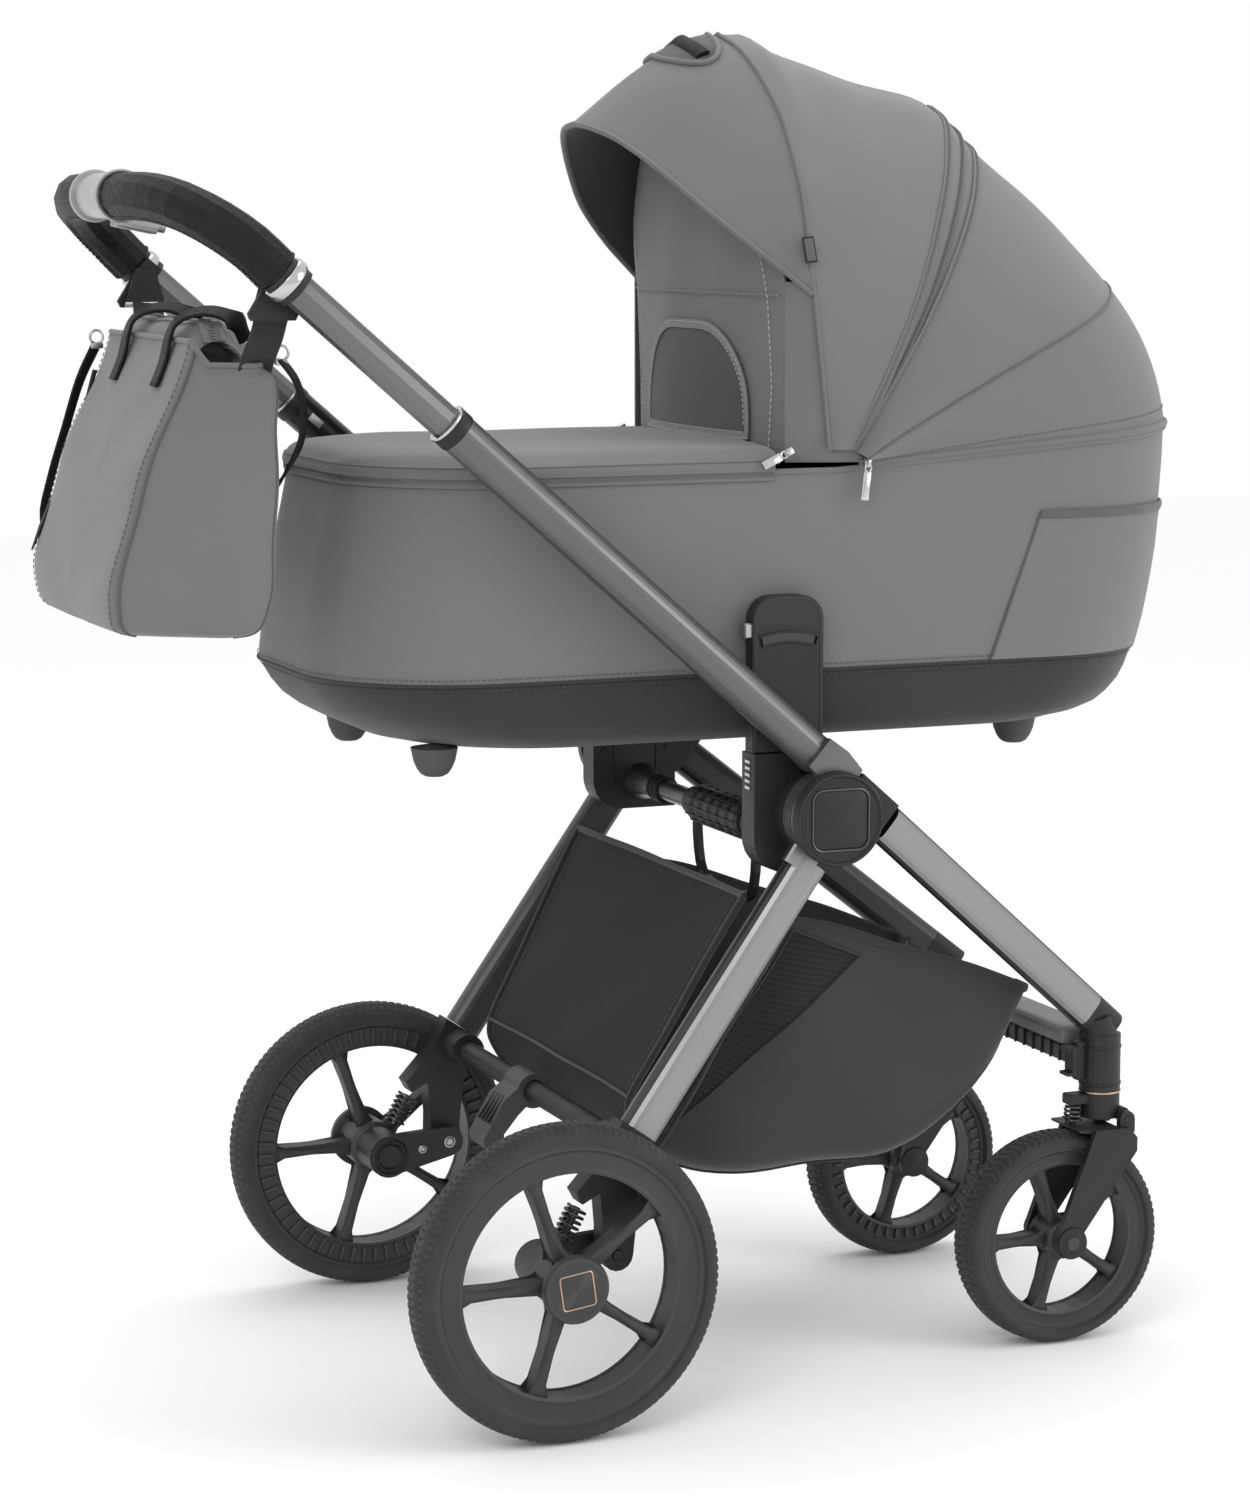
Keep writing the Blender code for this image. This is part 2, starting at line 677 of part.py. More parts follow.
def fold_controls():
    x, z = CROSS_TUBE
    half = SOCKET_Y[0] - GAP
    tube = rod("fold_cross_tube", TUBE_METAL, (x, -half, z), (x, half, z), 0.0100)
    flanges = [
        rod(f"fold_cross_tube_flange_{tag}", PLASTIC, (x, side * half, z),
            (x, side * (half - 0.040), z), 0.0185, 0.0112)
        for tag, side in SIDES
    ]
    hang(joined(tube, *flanges))
    sleeve_y = (-0.092, 0.034)
    ribbed = [(0.0104, sleeve_y[0]), (0.0170, sleeve_y[0])]
    ribs = 6
    pitch = (sleeve_y[1] - sleeve_y[0]) / ribs
    for i in range(ribs):
        start = sleeve_y[0] + i * pitch
        ribbed += [(0.0185, start + pitch * 0.25), (0.0185, start + pitch * 0.75),
                   (0.0170, start + pitch)]
    ribbed.append((0.0104, sleeve_y[1]))
    axis = joint("lock_sleeve_axis", (x, 0, z))
    hang(turned("fold_lock_sleeve", PLASTIC, ribbed, (x, 0, z), 1, steps=16), axis)
    swing = joint("pull_handle_axis", (x, 0, z))
    loop = [
        Vector((x, 0.0400, z)), Vector((x, 0.0390, z - 0.030)), Vector((x, 0.0320, z - 0.058)),
        Vector((x, 0.0150, z - 0.072)), Vector((x, -0.0290, z - 0.077)),
        Vector((x, -0.0800, z - 0.074)), Vector((x, -0.0960, z - 0.060)),
        Vector((x, -0.1010, z - 0.030)), Vector((x, -0.1000, z)),
    ]
    ring = sweep("fold_pull_handle", PLASTIC, smooth_path(loop, 2), 0.0055, 1)
    eyes = [
        rod(f"fold_pull_handle_eye_{i}", PLASTIC, (x, y - 0.005, z), (x, y + 0.005, z), 0.0150)
        for i, y in enumerate((0.0400, -0.1000))
    ]
    bores = [
        rod(f"fold_pull_handle_bore_{i}", PLASTIC, (x, y - 0.012, z), (x, y + 0.012, z), 0.0106)
        for i, y in enumerate((0.0400, -0.1000))
    ]
    hang(cut(joined(ring, *eyes), *bores), swing)


def rear_frame():
    feet, holes = [], []
    for tag, side in SIDES:
        leg = beam(
            f"rear_leg_{tag}", TUBE_METAL,
            at_side(rear_leg_point(REAR_LEG_TOP, REAR_LEG_OFF), TUBE_Y - 0.0005, side),
            at_side(rear_leg_point(REAR_LEG_END, REAR_LEG_OFF / 2), TUBE_Y - 0.0005, side), LEG_WIDE, LEG_DEEP,
        )
        neck = beam(
            f"rear_leg_{tag}_neck", PLASTIC,
            at_side(rear_leg_point(0.020), 0.2412, side),
            at_side(rear_leg_point(REAR_LEG_TOP + 0.012), 0.2412, side), 0.030, 0.0120, 0.002, 1,
        )
        knuckle = rod(
            f"rear_leg_{tag}_knuckle", PLASTIC, at_side(HUB, KNUCKLE_Y[0], side),
            at_side(HUB, KNUCKLE_Y[1], side), 0.0410, segments=32,
        )
        bore = rod(
            f"rear_leg_{tag}_bore", PLASTIC, at_side(HUB, 0.22, side), at_side(HUB, 0.26, side),
            PIN_R + 0.0005, segments=20,
        )
        hang(cut(joined(leg, neck, knuckle), bore), FOLD_AXIS)

        top = REAR_LEG_END + GAP
        foot_line = [
            rear_leg_point(top, LEG_WIDE / 2), rear_leg_point(top, -LEG_WIDE / 2),
            (0.0520, 0.2480), (0.0230, 0.2160), (0.0290, 0.2050), (0.0460, 0.2140),
            (0.0490, 0.1800),
        ]
        foot_line += arc(REAR_PIVOT, 0.0150, 165, 360, 9) + [(0.0850, 0.2200)]
        feet.append(plate(f"rear_foot_{tag}", PLASTIC, foot_line, layer(side, (0.2235, 0.2475))))
        feet.append(rod(
            f"rear_foot_{tag}_sleeve", PLASTIC, at_side(REAR_BAR, 0.2300, side),
            at_side(REAR_BAR, 0.1900, side), 0.0170,
        ))
        holes.append(rod(
            f"rear_foot_{tag}_hole", PLASTIC, at_side(REAR_PIVOT, 0.215, side),
            at_side(REAR_PIVOT, 0.255, side), 0.0056, segments=14,
        ))

        arm_line = arc(REAR_PIVOT, 0.0150, -80, 100, 9) + arc(REAR_AXLE, 0.0215, 105, 262, 9)
        arm = plate(f"rear_arm_{tag}", PLASTIC, arm_line, layer(side, (0.2070, 0.2160)))
        barrel = rod(
            f"rear_arm_{tag}_barrel", PLASTIC, at_side(REAR_AXLE, 0.2070, side),
            at_side(REAR_AXLE, 0.2510, side), 0.0215,
        )
        stub = rod(
            f"rear_arm_{tag}_stub", SILVER, at_side(REAR_AXLE, 0.2400, side),
            at_side(REAR_AXLE, 0.2985, side), 0.0060, segments=16,
        )
        bolt = rod(
            f"rear_arm_{tag}_bolt", SILVER, at_side(REAR_PIVOT, 0.2100, side),
            at_side(REAR_PIVOT, 0.2490, side), 0.0050, segments=14,
        )
        hang(joined(arm, barrel, stub, bolt), REAR_ARMS[tag])

        spring = spring_column(
            f"rear_spring_{tag}", at_side((0.0130, 0.1710), 0.2355, side),
            at_side((0.0285, 0.2010), 0.2355, side), 0.0085, 3,
        )
        hang(spring, FOLD_AXIS)

    axle = rod(
        "rear_axle", TUBE_METAL, (REAR_BAR[0], -0.2300, REAR_BAR[1]),
        (REAR_BAR[0], 0.2300, REAR_BAR[1]), 0.0105,
    )
    hang(cut(joined(axle, *feet), *holes), FOLD_AXIS)

    pedal_axis = joint("brake_pedal_axis", (REAR_BAR[0], 0.0, REAR_BAR[1]), FOLD_AXIS)
    pedal_y = (0.004, 0.046)
    ring = baked(turned(
        "brake_pedal", PLASTIC,
        [(0.0110, pedal_y[0]), (0.0170, pedal_y[0]), (0.0170, pedal_y[1]), (0.0110, pedal_y[1])],
        (REAR_BAR[0], 0, REAR_BAR[1]), 1, steps=24,
    ))
    pad_line = [
        (0.0640, 0.2560), (0.0480, 0.2440), (0.0260, 0.2060), (0.0280, 0.1980), (0.0360, 0.1970),
        (0.0620, 0.2280), (0.0720, 0.2370),
    ]
    hang(joined(ring, plate("brake_pedal_pad", PLASTIC, pad_line, pedal_y)), pedal_axis)

    rows = []
    stations = [
        ((0.2070, 0.4670), 0.2050), ((0.1560, 0.3800), 0.1960), ((0.1080, 0.2930), 0.1860),
        ((0.1020, 0.2620), 0.1820), ((0.1200, 0.2300), 0.1760),
    ]
    for (x, z), width in stations:
        rows.append([Vector((x, -width + 2 * width * i / 4, z)) for i in range(5)])
    hang(sheet("rear_panel", DARK_FABRIC, rows, 0.007), FOLD_AXIS)


def basket():
    """An open-topped tub of fabric between the four legs."""
    stations = [
        ((0.1420, 0.2120), (0.2620, 0.4360), 0.140, 0.176),
        ((0.1980, 0.1920), (0.3040, 0.4250), 0.150, 0.178),
        ((0.3000, 0.1890), (0.3780, 0.4010), 0.150, 0.170),
        ((0.3850, 0.1930), (0.4480, 0.3760), 0.146, 0.162),
        ((0.4580, 0.2260), (0.5030, 0.3560), 0.138, 0.152),
        ((0.5080, 0.2900), (0.5300, 0.3450), 0.128, 0.144),
    ]
    rows = []
    for (low_x, low_z), (top_x, top_z), low_half, top_half in stations:
        section = []
        for share, half_share in ((1.0, 1.0), (0.66, 0.72), (0.33, 0.40), (0.06, 0.05)):
            half = lerp(low_half, top_half, half_share)
            section.append(Vector((lerp(low_x, top_x, share), -half, lerp(low_z, top_z, share))))
        section.append(Vector((low_x, -low_half * 0.75, low_z)))
        section.append(Vector((low_x, 0, low_z)))
        section += [Vector((p.x, -p.y, p.z)) for p in reversed(section[:-1])]
        rows.append(section)
    front = [Vector((p.x + 0.004, p.y * 0.82, p.z)) for p in rows[-1]]
    top_z = stations[-1][1][1]
    closing = [Vector((lerp(p.x, stations[-1][1][0], 0.6), p.y, lerp(p.z, top_z, 0.85)))
               for p in front]
    hang(sheet("basket", DARK_FABRIC, rows + [closing], 0.004))


# ---------------------------------------------------------------- handle

def bar_path():
    """Half of the U-shaped bar's centreline, from inside the tube to the middle of the crossbar."""
    straight = [at_side(handle_point(t), TUBE_Y, 1) for t in (BAR_FROM, 0.50, 0.62, GRIP_FROM)]
    bend = [
        Vector((-0.2640, 0.2330, 1.0585)), Vector((-0.2870, 0.2160, 1.0770)),
        Vector((-0.3070, 0.1830, 1.0915)), Vector((-0.3190, 0.1350, 1.0985)),
        Vector((BAR_END[0] + 0.0005, 0.0900, BAR_END[1])),
        Vector((BAR_END[0], 0.0520, BAR_END[1])), Vector((BAR_END[0], 0.0, BAR_END[1])),
    ]
    return straight, bend


def mirrored(points):
    return [Vector((p.x, -p.y, p.z)) for p in points]


def handle():
    for tag, side in SIDES:
        tube = rod(
            f"handle_tube_{tag}", TUBE_METAL, at_side(handle_point(OUTER_TUBE[0]), TUBE_Y, side),
            at_side(handle_point(OUTER_TUBE[1]), TUBE_Y, side), OUTER_TUBE_R, segments=28,
        )
        top_start = handle_point(OUTER_TUBE[0] + 0.010, OUTER_TUBE_R - 0.002)
        low_start = handle_point(OUTER_TUBE[0] + 0.010, 0.002 - OUTER_TUBE_R)
        shoulder = [top_start, (HUB[0] + 0.0130, HUB[1] + 0.0600), (HUB[0] + 0.0275, HUB[1] + 0.0423)]
        fitting_line = shoulder + arc(HUB, CLEAR_R, 57, 113, 6) + [low_start]
        fitting = plate(
            f"handle_tube_{tag}_fitting", PLASTIC, fitting_line,
            layer(side, (0.2190, 0.2580)),
        )
        disc = rod(
            f"handle_tube_{tag}_disc", PLASTIC, at_side(HUB, HANDLE_PLATE_Y[0], side),
            at_side(HUB, HANDLE_PLATE_Y[1], side), 0.0405, segments=36,
        )
        web_line = [(HUB[0] + 0.0120, HUB[1] + 0.0570), (HUB[0] + 0.0235, HUB[1] + 0.0440)]
        web_line += arc(HUB, 0.0310, 48, 118, 5) + [handle_point(0.0230, -0.0120)]
        web = plate(
            f"handle_tube_{tag}_web", PLASTIC, web_line, layer(side, (0.2512, 0.2570))
        )
        bore = rod(
            f"handle_tube_{tag}_bore", TUBE_METAL, at_side(handle_point(0.030), TUBE_Y, side),
            at_side(handle_point(0.60), TUBE_Y, side), OUTER_BORE_R, segments=28,
        )
        pin_hole = rod(
            f"handle_tube_{tag}_pin_hole", PLASTIC, at_side(HUB, 0.24, side),
            at_side(HUB, 0.27, side), PIN_R + 0.0005, segments=20,
        )
        hang(cut(joined(tube, fitting, web, disc), bore, pin_hole), HANDLE_AXIS)

    straight, bend = bar_path()
    half = straight + smooth_path([straight[-1], *bend], BEND_STEPS)[1:]
    whole = half + mirrored(reversed(half[:-1]))
    hang(sweep("handle_bar", TUBE_METAL, whole, BAR_R, 4), TELESCOPE)

    curve = smooth_path([straight[-1], *bend], BEND_STEPS)
    sleeve_half = 0.048
    grip = [p for p in curve if p.y > sleeve_half + 0.004]
    grip.append(Vector((BAR_END[0], sleeve_half + 0.003, BAR_END[1])))
    for tag, side in SIDES:
        path = grip if side > 0 else mirrored(grip)
        hang(sweep(f"grip_{tag}", LEATHER, path, GRIP_R, 4, GRIP_R - GRIP_BORE), TELESCOPE)
        ring = rod(
            f"bag_bracket_{tag}", SILVER, at_side(handle_point(GRIP_FROM - 0.002), TUBE_Y, side),
            at_side(handle_point(GRIP_FROM - 0.024), TUBE_Y, side), 0.0185, segments=28,
        )
        lug_line = [
            handle_point(GRIP_FROM - 0.004, -0.010), handle_point(GRIP_FROM - 0.022, -0.010),
            (BAG_HINGE[0] + 0.020, BAG_HINGE[1] - 0.004), (BAG_HINGE[0] + 0.017, BAG_HINGE[1] - 0.010),
            (BAG_HINGE[0] - 0.022, BAG_HINGE[1] - 0.010), (BAG_HINGE[0] - 0.025, BAG_HINGE[1] - 0.004),
        ]
        lug = plate(f"bag_bracket_{tag}_lug", SILVER, lug_line, layer(side, (0.2135, 0.2185)))
        eye = plate(
            f"bag_bracket_{tag}_eye", SILVER,
            [handle_point(GRIP_FROM - 0.004, 0.010), handle_point(GRIP_FROM - 0.022, 0.010),
             handle_point(GRIP_FROM - 0.022, -0.012), handle_point(GRIP_FROM - 0.004, -0.012)],
            layer(side, (0.2135, 0.2300)),
        )
        bore = rod(
            f"bag_bracket_{tag}_bore", SILVER, at_side(handle_point(GRIP_FROM + 0.02), TUBE_Y, side),
            at_side(handle_point(GRIP_FROM - 0.06), TUBE_Y, side), GRIP_BORE, segments=28,
        )
        hang(cut(joined(ring, eye, lug), bore), TELESCOPE)

    x, z = BAR_END
    sleeve = baked(turned(
        "handle_sleeve", SILVER,
        [(GRIP_BORE, -sleeve_half), (0.0225, -sleeve_half), (0.0225, -sleeve_half + 0.004),
         (0.0200, -sleeve_half + 0.005), (0.0200, sleeve_half - 0.005),
         (0.0225, sleeve_half - 0.004), (0.0225, sleeve_half), (GRIP_BORE, sleeve_half)],
        (x, 0, z), 1, steps=28,
    ))
    pod = beam(
        "handle_sleeve_pod", SILVER, (x + 0.006, 0, z - 0.0190), (x + 0.042, 0, z - 0.0260),
        0.016, 0.030, 0.005, 2,
    )
    core = rod("handle_sleeve_core", SILVER, (x, -0.06, z), (x, 0.06, z), GRIP_BORE, segments=28)
    well_start, press_way = Vector((x + 0.0350, 0, z - 0.0245)), Vector((0.9816, 0, -0.1908))
    well = rod(
        "handle_sleeve_well", SILVER, well_start, well_start + press_way * 0.012, 0.0066,
        segments=20,
    )
    hang(cut(joined(sleeve, pod), core, well), TELESCOPE)
    press = joint("telescope_button_axis", well_start + press_way * 0.004, TELESCOPE)
    hang(rod(
        "telescope_button", SILVER, well_start + press_way * 0.004,
        well_start + press_way * 0.0165, 0.0060, 0.0056, segments=20,
    ), press)


# ---------------------------------------------------------------- bag

def bag():
    """A soft nursery bag with a narrow front face, hung between the handle's tubes."""
    levels = [
        # z, front x, back x, front half width, back half width
        (0.7200, -0.3440, -0.2600, 0.116, 0.166),
        (0.7290, -0.3630, -0.2400, 0.132, 0.186),
        (0.7700, -0.3640, -0.2310, 0.141, 0.196),
        (0.8600, -0.3380, -0.2270, 0.141, 0.196),
        (0.9300, -0.3080, -0.2260, 0.140, 0.194),
        (0.9640, -0.2930, -0.2290, 0.138, 0.192),
        (0.9790, -0.2860, -0.2480, 0.134, 0.160),
    ]
    rings = []
    for z, front, back, front_half, back_half in levels:
        right = [
            (front, 0.0), (front, -front_half * 0.5), (front, -front_half * 0.94),
            (lerp(front, back, 0.10), -front_half * 1.02),
            (lerp(front, back, 0.55), -lerp(front_half, back_half, 0.60)),
            (lerp(front, back, 0.90), -back_half), (back, -back_half * 0.95),
            (back, -back_half * 0.5), (back, 0.0),
        ]
        left = [(x, -y) for x, y in reversed(right[1:-1])]
        rings.append([Vector((x, y, z)) for x, y in right + left])
    body = ring_solid("bag", GREY_FABRIC, rings)
    x, z = BAG_HINGE
    webbing = []
    for tag, side in SIDES:
        line = [(x - 0.016, z - 0.0110), (x + 0.010, z - 0.0110), (-0.2320, 0.9450), (-0.2600, 0.9450)]
        webbing.append(plate(
            f"bag_webbing_{tag}", DARK_FABRIC, line, layer(side, (0.1840, 0.2120))
        ))
    hang(joined(body, *webbing), BAG_AXIS)
    hang(sweep("bag_strap", LEATHER, STRAP_ROUTE, STRAP_WIDTH / 2, 1), BAG_AXIS)


# ---------------------------------------------------------------- carrycot

def cot_profile(z):
    """(foot end x, head end x, half width) of the carrycot's outside at a height."""
    foot = table([(0.607, -0.080), (0.620, -0.118), (0.640, -0.150), (0.672, -0.170),
                  (0.765, -0.156), (0.853, -0.138)], z)
    head = table([(0.607, 0.602), (0.620, 0.637), (0.645, 0.659), (0.700, 0.675),
                  (0.765, 0.687), (0.828, 0.696), (0.885, 0.700)], z)
    half = table([(0.607, 0.168), (0.620, 0.184), (0.645, 0.192), (0.672, COT_HALF)], z)
    return foot, head, half


def cot_ring(z, inset=0.0, rise=None, count=6):
    """The carrycot's outline at a height, as a rounded rectangle. rise lifts each point by its x."""
    foot, head, half = cot_profile(z)
    foot, head, half = foot + inset, head - inset, half - inset
    corner = COT_CORNER - inset
    points = []
    corners = [(head, half, 0), (foot, half, 90), (foot, -half, 180), (head, -half, 270)]
    for x, y, turn in corners:
        centre = (x - math.copysign(corner, x - 0.27), y - math.copysign(corner, y))
        points += arc(centre, corner, turn, turn + 90, count)
        if turn == 0:
            points += [(side_x, half) for side_x in (0.44, 0.36, 0.28, 0.15)]
        if turn == 180:
            points += [(side_x, -half) for side_x in (0.15, 0.28, 0.36, 0.44)]
    return [Vector((x, y, z + (rise(x) if rise else 0.0))) for x, y in points]


def rim_rise(x):
    """The rim climbs from the canopy's pivots to the head end."""
    return 0.029 * max(0.0, min(1.0, (x - 0.30) / 0.40))


def carrycot():
    heights = (COT_FLOOR_Z, 0.620, 0.645, 0.672, 0.765)
    rings = [cot_ring(z) for z in heights]
    rings.append(cot_ring(COT_RIM_Z, 0.0, rim_rise))
    rings.append(cot_ring(COT_RIM_Z, COT_WALL, rim_rise))
    rings += [cot_ring(z, COT_WALL) for z in (0.765, 0.672, 0.6450)]
    rings.append(cot_ring(0.6250, COT_WALL + 0.010))
    tub = ring_solid("carrycot_tub", GREY_FABRIC, rings)
    feet = [
        rod(f"carrycot_tub_foot_{tag}_{x}", RUBBER, (x, side * 0.125, 0.5820),
            (x, side * 0.125, COT_FLOOR_Z + 0.006), 0.0130, 0.0220, segments=16)
        for tag, side in SIDES for x in (-0.066, 0.521)
    ]
    hang(joined(tub, *feet), COT_LIFT)
    pad = [cot_ring(z, inset) for z, inset in (
        (0.6255, 0.034), (0.6330, 0.028), (0.6560, 0.026), (0.6640, 0.036))]
    hang(ring_solid("mattress", LINING, pad), COT_LIFT)

    rows = []
    for i in range(11):
        x = lerp(-0.1345, 0.2340, i / 10)
        half = apron_half(x)
        rows.append([
            Vector((x, half * v, 0.8575 + 0.0165 * apron_crown(x) * (1 - v * v)))
            for v in (-1, -0.75, -0.4, 0, 0.4, 0.75, 1)
        ])
    hang(sheet("apron", GREY_FABRIC, rows, 0.0040), COT_LIFT)
    flap_rows = []
    for z, half, x in ((0.8640, 0.176, 0.2590), (0.9300, 0.182, 0.2600), (1.0100, 0.178, 0.2560),
                       (1.0750, 0.142, 0.2370), (1.1200, 0.100, 0.2190)):
        foot = 0.0155 if z < 0.87 else 0.0
        flap_rows.append([
            Vector((x - 0.020 * (1 - v * v), half * v, z + foot * (1 - v * v)))
            for v in (-1, -0.66, -0.33, 0, 0.33, 0.66, 1)
        ])
    hang(sheet("wind_flap", GREY_FABRIC, flap_rows, 0.0040, 0.0), FLAP_AXIS)

    for tag, side in SIDES:
        face = [(0.2080, 0.6000), (0.2780, 0.6000)]
        face += arc((0.2560, 0.7200), 0.0220, 0, 90, 6) + arc((0.2300, 0.7200), 0.0220, 90, 180, 6)
        shell = plate(f"adapter_{tag}", PLASTIC, face, layer(side, (0.1985, 0.2145)))
        tongue = block(
            f"adapter_{tag}_tongue", PLASTIC,
            (0.2235, min(side * 0.1905, side * 0.2055), 0.5260),
            (0.2815, max(side * 0.1905, side * 0.2055), 0.6040),
        )
        slot_line = arc((0.2430, 0.6120), 0.0960, 108, 72, 7) + arc((0.2430, 0.6120), 0.0890, 72, 108, 7)
        slot = plate(f"adapter_{tag}_slot", PLASTIC, slot_line, layer(side, (0.2120, 0.2200)))
        well = block(
            f"adapter_{tag}_well", PLASTIC,
            (0.2000, min(side * 0.2002, side * 0.2128), 0.7037),
            (0.2135, max(side * 0.2002, side * 0.2128), 0.7183),
        )
        hang(cut(joined(shell, tongue), slot, well), COT_LIFT)
        press = joint(f"adapter_button_axis_{tag}", (0.2100, side * 0.2065, 0.7110), COT_LIFT)
        hang(block(
            f"adapter_button_{tag}", SILVER,
            (0.2010, min(side * 0.2006, side * 0.2124), 0.7041),
            (0.2100, max(side * 0.2006, side * 0.2124), 0.7179), 0.0012, 1,
        ), press)


def apron_half(x):
    """Half the apron's width, which follows the rim's outline less a small margin."""
    foot, _, half = cot_profile(COT_RIM_Z)
    centre = foot + COT_CORNER
    if x >= centre:
        return half - 0.003
    inside = max(0.0, (COT_CORNER - 0.003) ** 2 - (centre - x) ** 2)
    return half - COT_CORNER + math.sqrt(inside)


def apron_crown(x):
    return table([(-0.135, 0.0), (-0.08, 0.75), (0.0, 1.0)], x)


# ---------------------------------------------------------------- canopy

BOW_ARCH = [(0.198, 0.0), (0.199, 0.080), (0.197, 0.160), (0.178, 0.226), (0.140, 0.284),
            (0.098, 0.330), (0.052, 0.362), (0.0, 0.380)]
MIDDLE_ARCH = [(0.199, 0.0), (0.195, 0.080), (0.180, 0.150), (0.155, 0.208), (0.125, 0.258),
               (0.090, 0.300), (0.048, 0.336), (0.0, 0.353)]


def arch_points(arch, angle, out=0.0, steps=2, foot=0.010):
    """One side of an arch in its plane through the canopy's pivots, from the side up to the middle."""
    flat = smooth_path([Vector((y, up, 0)) for y, up in arch], steps)
    points = []
    for p in flat:
        shrink = 1 + out / 0.30
        radius = p.y * shrink + foot * (1 - p.y / arch[-1][1]) + 0.010 * p.y / arch[-1][1]
        points.append(Vector((
            CANOPY_PIVOT[0] + radius * math.cos(angle), p.x * shrink,
            CANOPY_PIVOT[1] + radius * math.sin(angle),
        )))
    return points


def both_sides(half):
    """A whole arch from its half: up one side and down the other."""
    return mirrored(half) + list(reversed(half[:-1]))


def blend_rows(first, last, count, bulge, skip_first=0.0, skip_last=0.0):
    """Rows between two arches. bulge pushes the middle rows away from the pivots."""
    pivot = Vector((CANOPY_PIVOT[0], 0, CANOPY_PIVOT[1]))
    rows = []
    for i in range(count):
        t = lerp(skip_first, 1 - skip_last, i / (count - 1))
        row = []
        for a, b in zip(first, last):
            p = a.lerp(b, t)
            row.append(pivot + (p - pivot) * (1 + bulge * math.sin(math.pi * t ** 1.25)))
        rows.append(row)
    return rows


def head_line(steps):
    """Half of the rim's outline round the head end, matched in count to an arch."""
    foot, head, half = cot_profile(0.885)
    start_x = CANOPY_PIVOT[0] + 0.014
    corner = COT_CORNER
    straight = head - corner - start_x
    quarter = corner * math.pi / 2
    end = half - corner
    length = straight + quarter + end
    count = (len(BOW_ARCH) - 1) * steps + 1
    points = []
    for i in range(count):
        s = length * i / (count - 1)
        if s < straight:
            x, y = start_x + s, half
        elif s < straight + quarter:
            a = (s - straight) / corner
            x, y = head - corner + corner * math.sin(a), half - corner + corner * math.cos(a)
        else:
            x, y = head, end - (s - straight - quarter)
        points.append(Vector((x - 0.007, y - 0.002, COT_RIM_Z + rim_rise(x) + 0.0042)))
    return points


def visor_lip(count):
    """Half of the visor's free edge, from its side corner to the tip."""
    points = [
        Vector((0.2640, 0.1985, 1.0080)), Vector((0.2280, 0.1830, 1.0450)),
        Vector((0.1860, 0.1500, 1.0900)), Vector((0.1590, 0.1130, 1.1230)),
        Vector((0.1360, 0.0700, 1.1500)), Vector((0.1230, 0.0330, 1.1620)),
        Vector((0.1200, 0.0, 1.1660)),
    ]
    path = smooth_path(points, 6)
    return [path[round(i * (len(path) - 1) / (count - 1))] for i in range(count)]


def canopy():
    steps = 2
    front = arch_points(BOW_ARCH, BOW_FRONT_ANGLE, 0.0, steps)
    middle = arch_points(MIDDLE_ARCH, BOW_MIDDLE_ANGLE, 0.0, steps)
    panel = sheet(
        "canopy_front_panel", GREY_FABRIC,
        blend_rows(both_sides(front), both_sides(middle), 5, 0.035, 0.03, 0.03), 0.0025,
    )
    hang(panel, MIDDLE_BOW)
    rear = sheet(
        "canopy_rear_panel", GREY_FABRIC,
        blend_rows(both_sides(middle), both_sides(head_line(steps)), 7, 0.105, 0.04, 0.0), 0.0025,
    )
    hang(rear, COT_LIFT)

    base = [p for p in front if p.z > 1.024]
    lip = visor_lip(len(base))
    rows = blend_rows(both_sides(lip), both_sides(base), 4, 0.012, 0.0, 0.02)
    hang(sheet("canopy_visor", GREY_FABRIC, rows, 0.0025), FRONT_BOW)

    for name, arch, angle, anchor in (
        ("canopy_front_bow", BOW_ARCH, BOW_FRONT_ANGLE, FRONT_BOW),
        ("canopy_middle_bow", MIDDLE_ARCH, BOW_MIDDLE_ANGLE, MIDDLE_BOW),
    ):
        hoop = arch_points(arch, angle, -0.014, 2, 0.034)
        hang(sweep(name, PLASTIC, both_sides(hoop), 0.0045, 1), anchor)


# ---------------------------------------------------------------- assembly

CROSS_TUBE = (0.263, 0.515)
BAG_HINGE = (-0.237, 1.0050)
STRAP_WIDTH = 0.010
STRAP_ROUTE = smooth_path([
    Vector((-0.2180, -0.168, 0.9600)), Vector((-0.2080, -0.178, 0.9420)),
    Vector((-0.2030, -0.182, 0.9180)), Vector((-0.2030, -0.176, 0.8920)),
    Vector((-0.2090, -0.160, 0.8680)), Vector((-0.2140, -0.120, 0.8400)),
    Vector((-0.2150, -0.050, 0.8120)), Vector((-0.2150, 0.040, 0.7920)),
    Vector((-0.2150, 0.120, 0.7800)), Vector((-0.2190, 0.185, 0.7740)),
    Vector((-0.2450, 0.211, 0.7720)), Vector((-0.2900, 0.203, 0.7720)),
    Vector((-0.3280, 0.187, 0.7760)), Vector((-0.3470, 0.177, 0.8000)),
    Vector((-0.3400, 0.172, 0.8400)), Vector((-0.3270, 0.166, 0.8850)),
    Vector((-0.3140, 0.159, 0.9300)), Vector((-0.2990, 0.152, 0.9640)),
], 3)

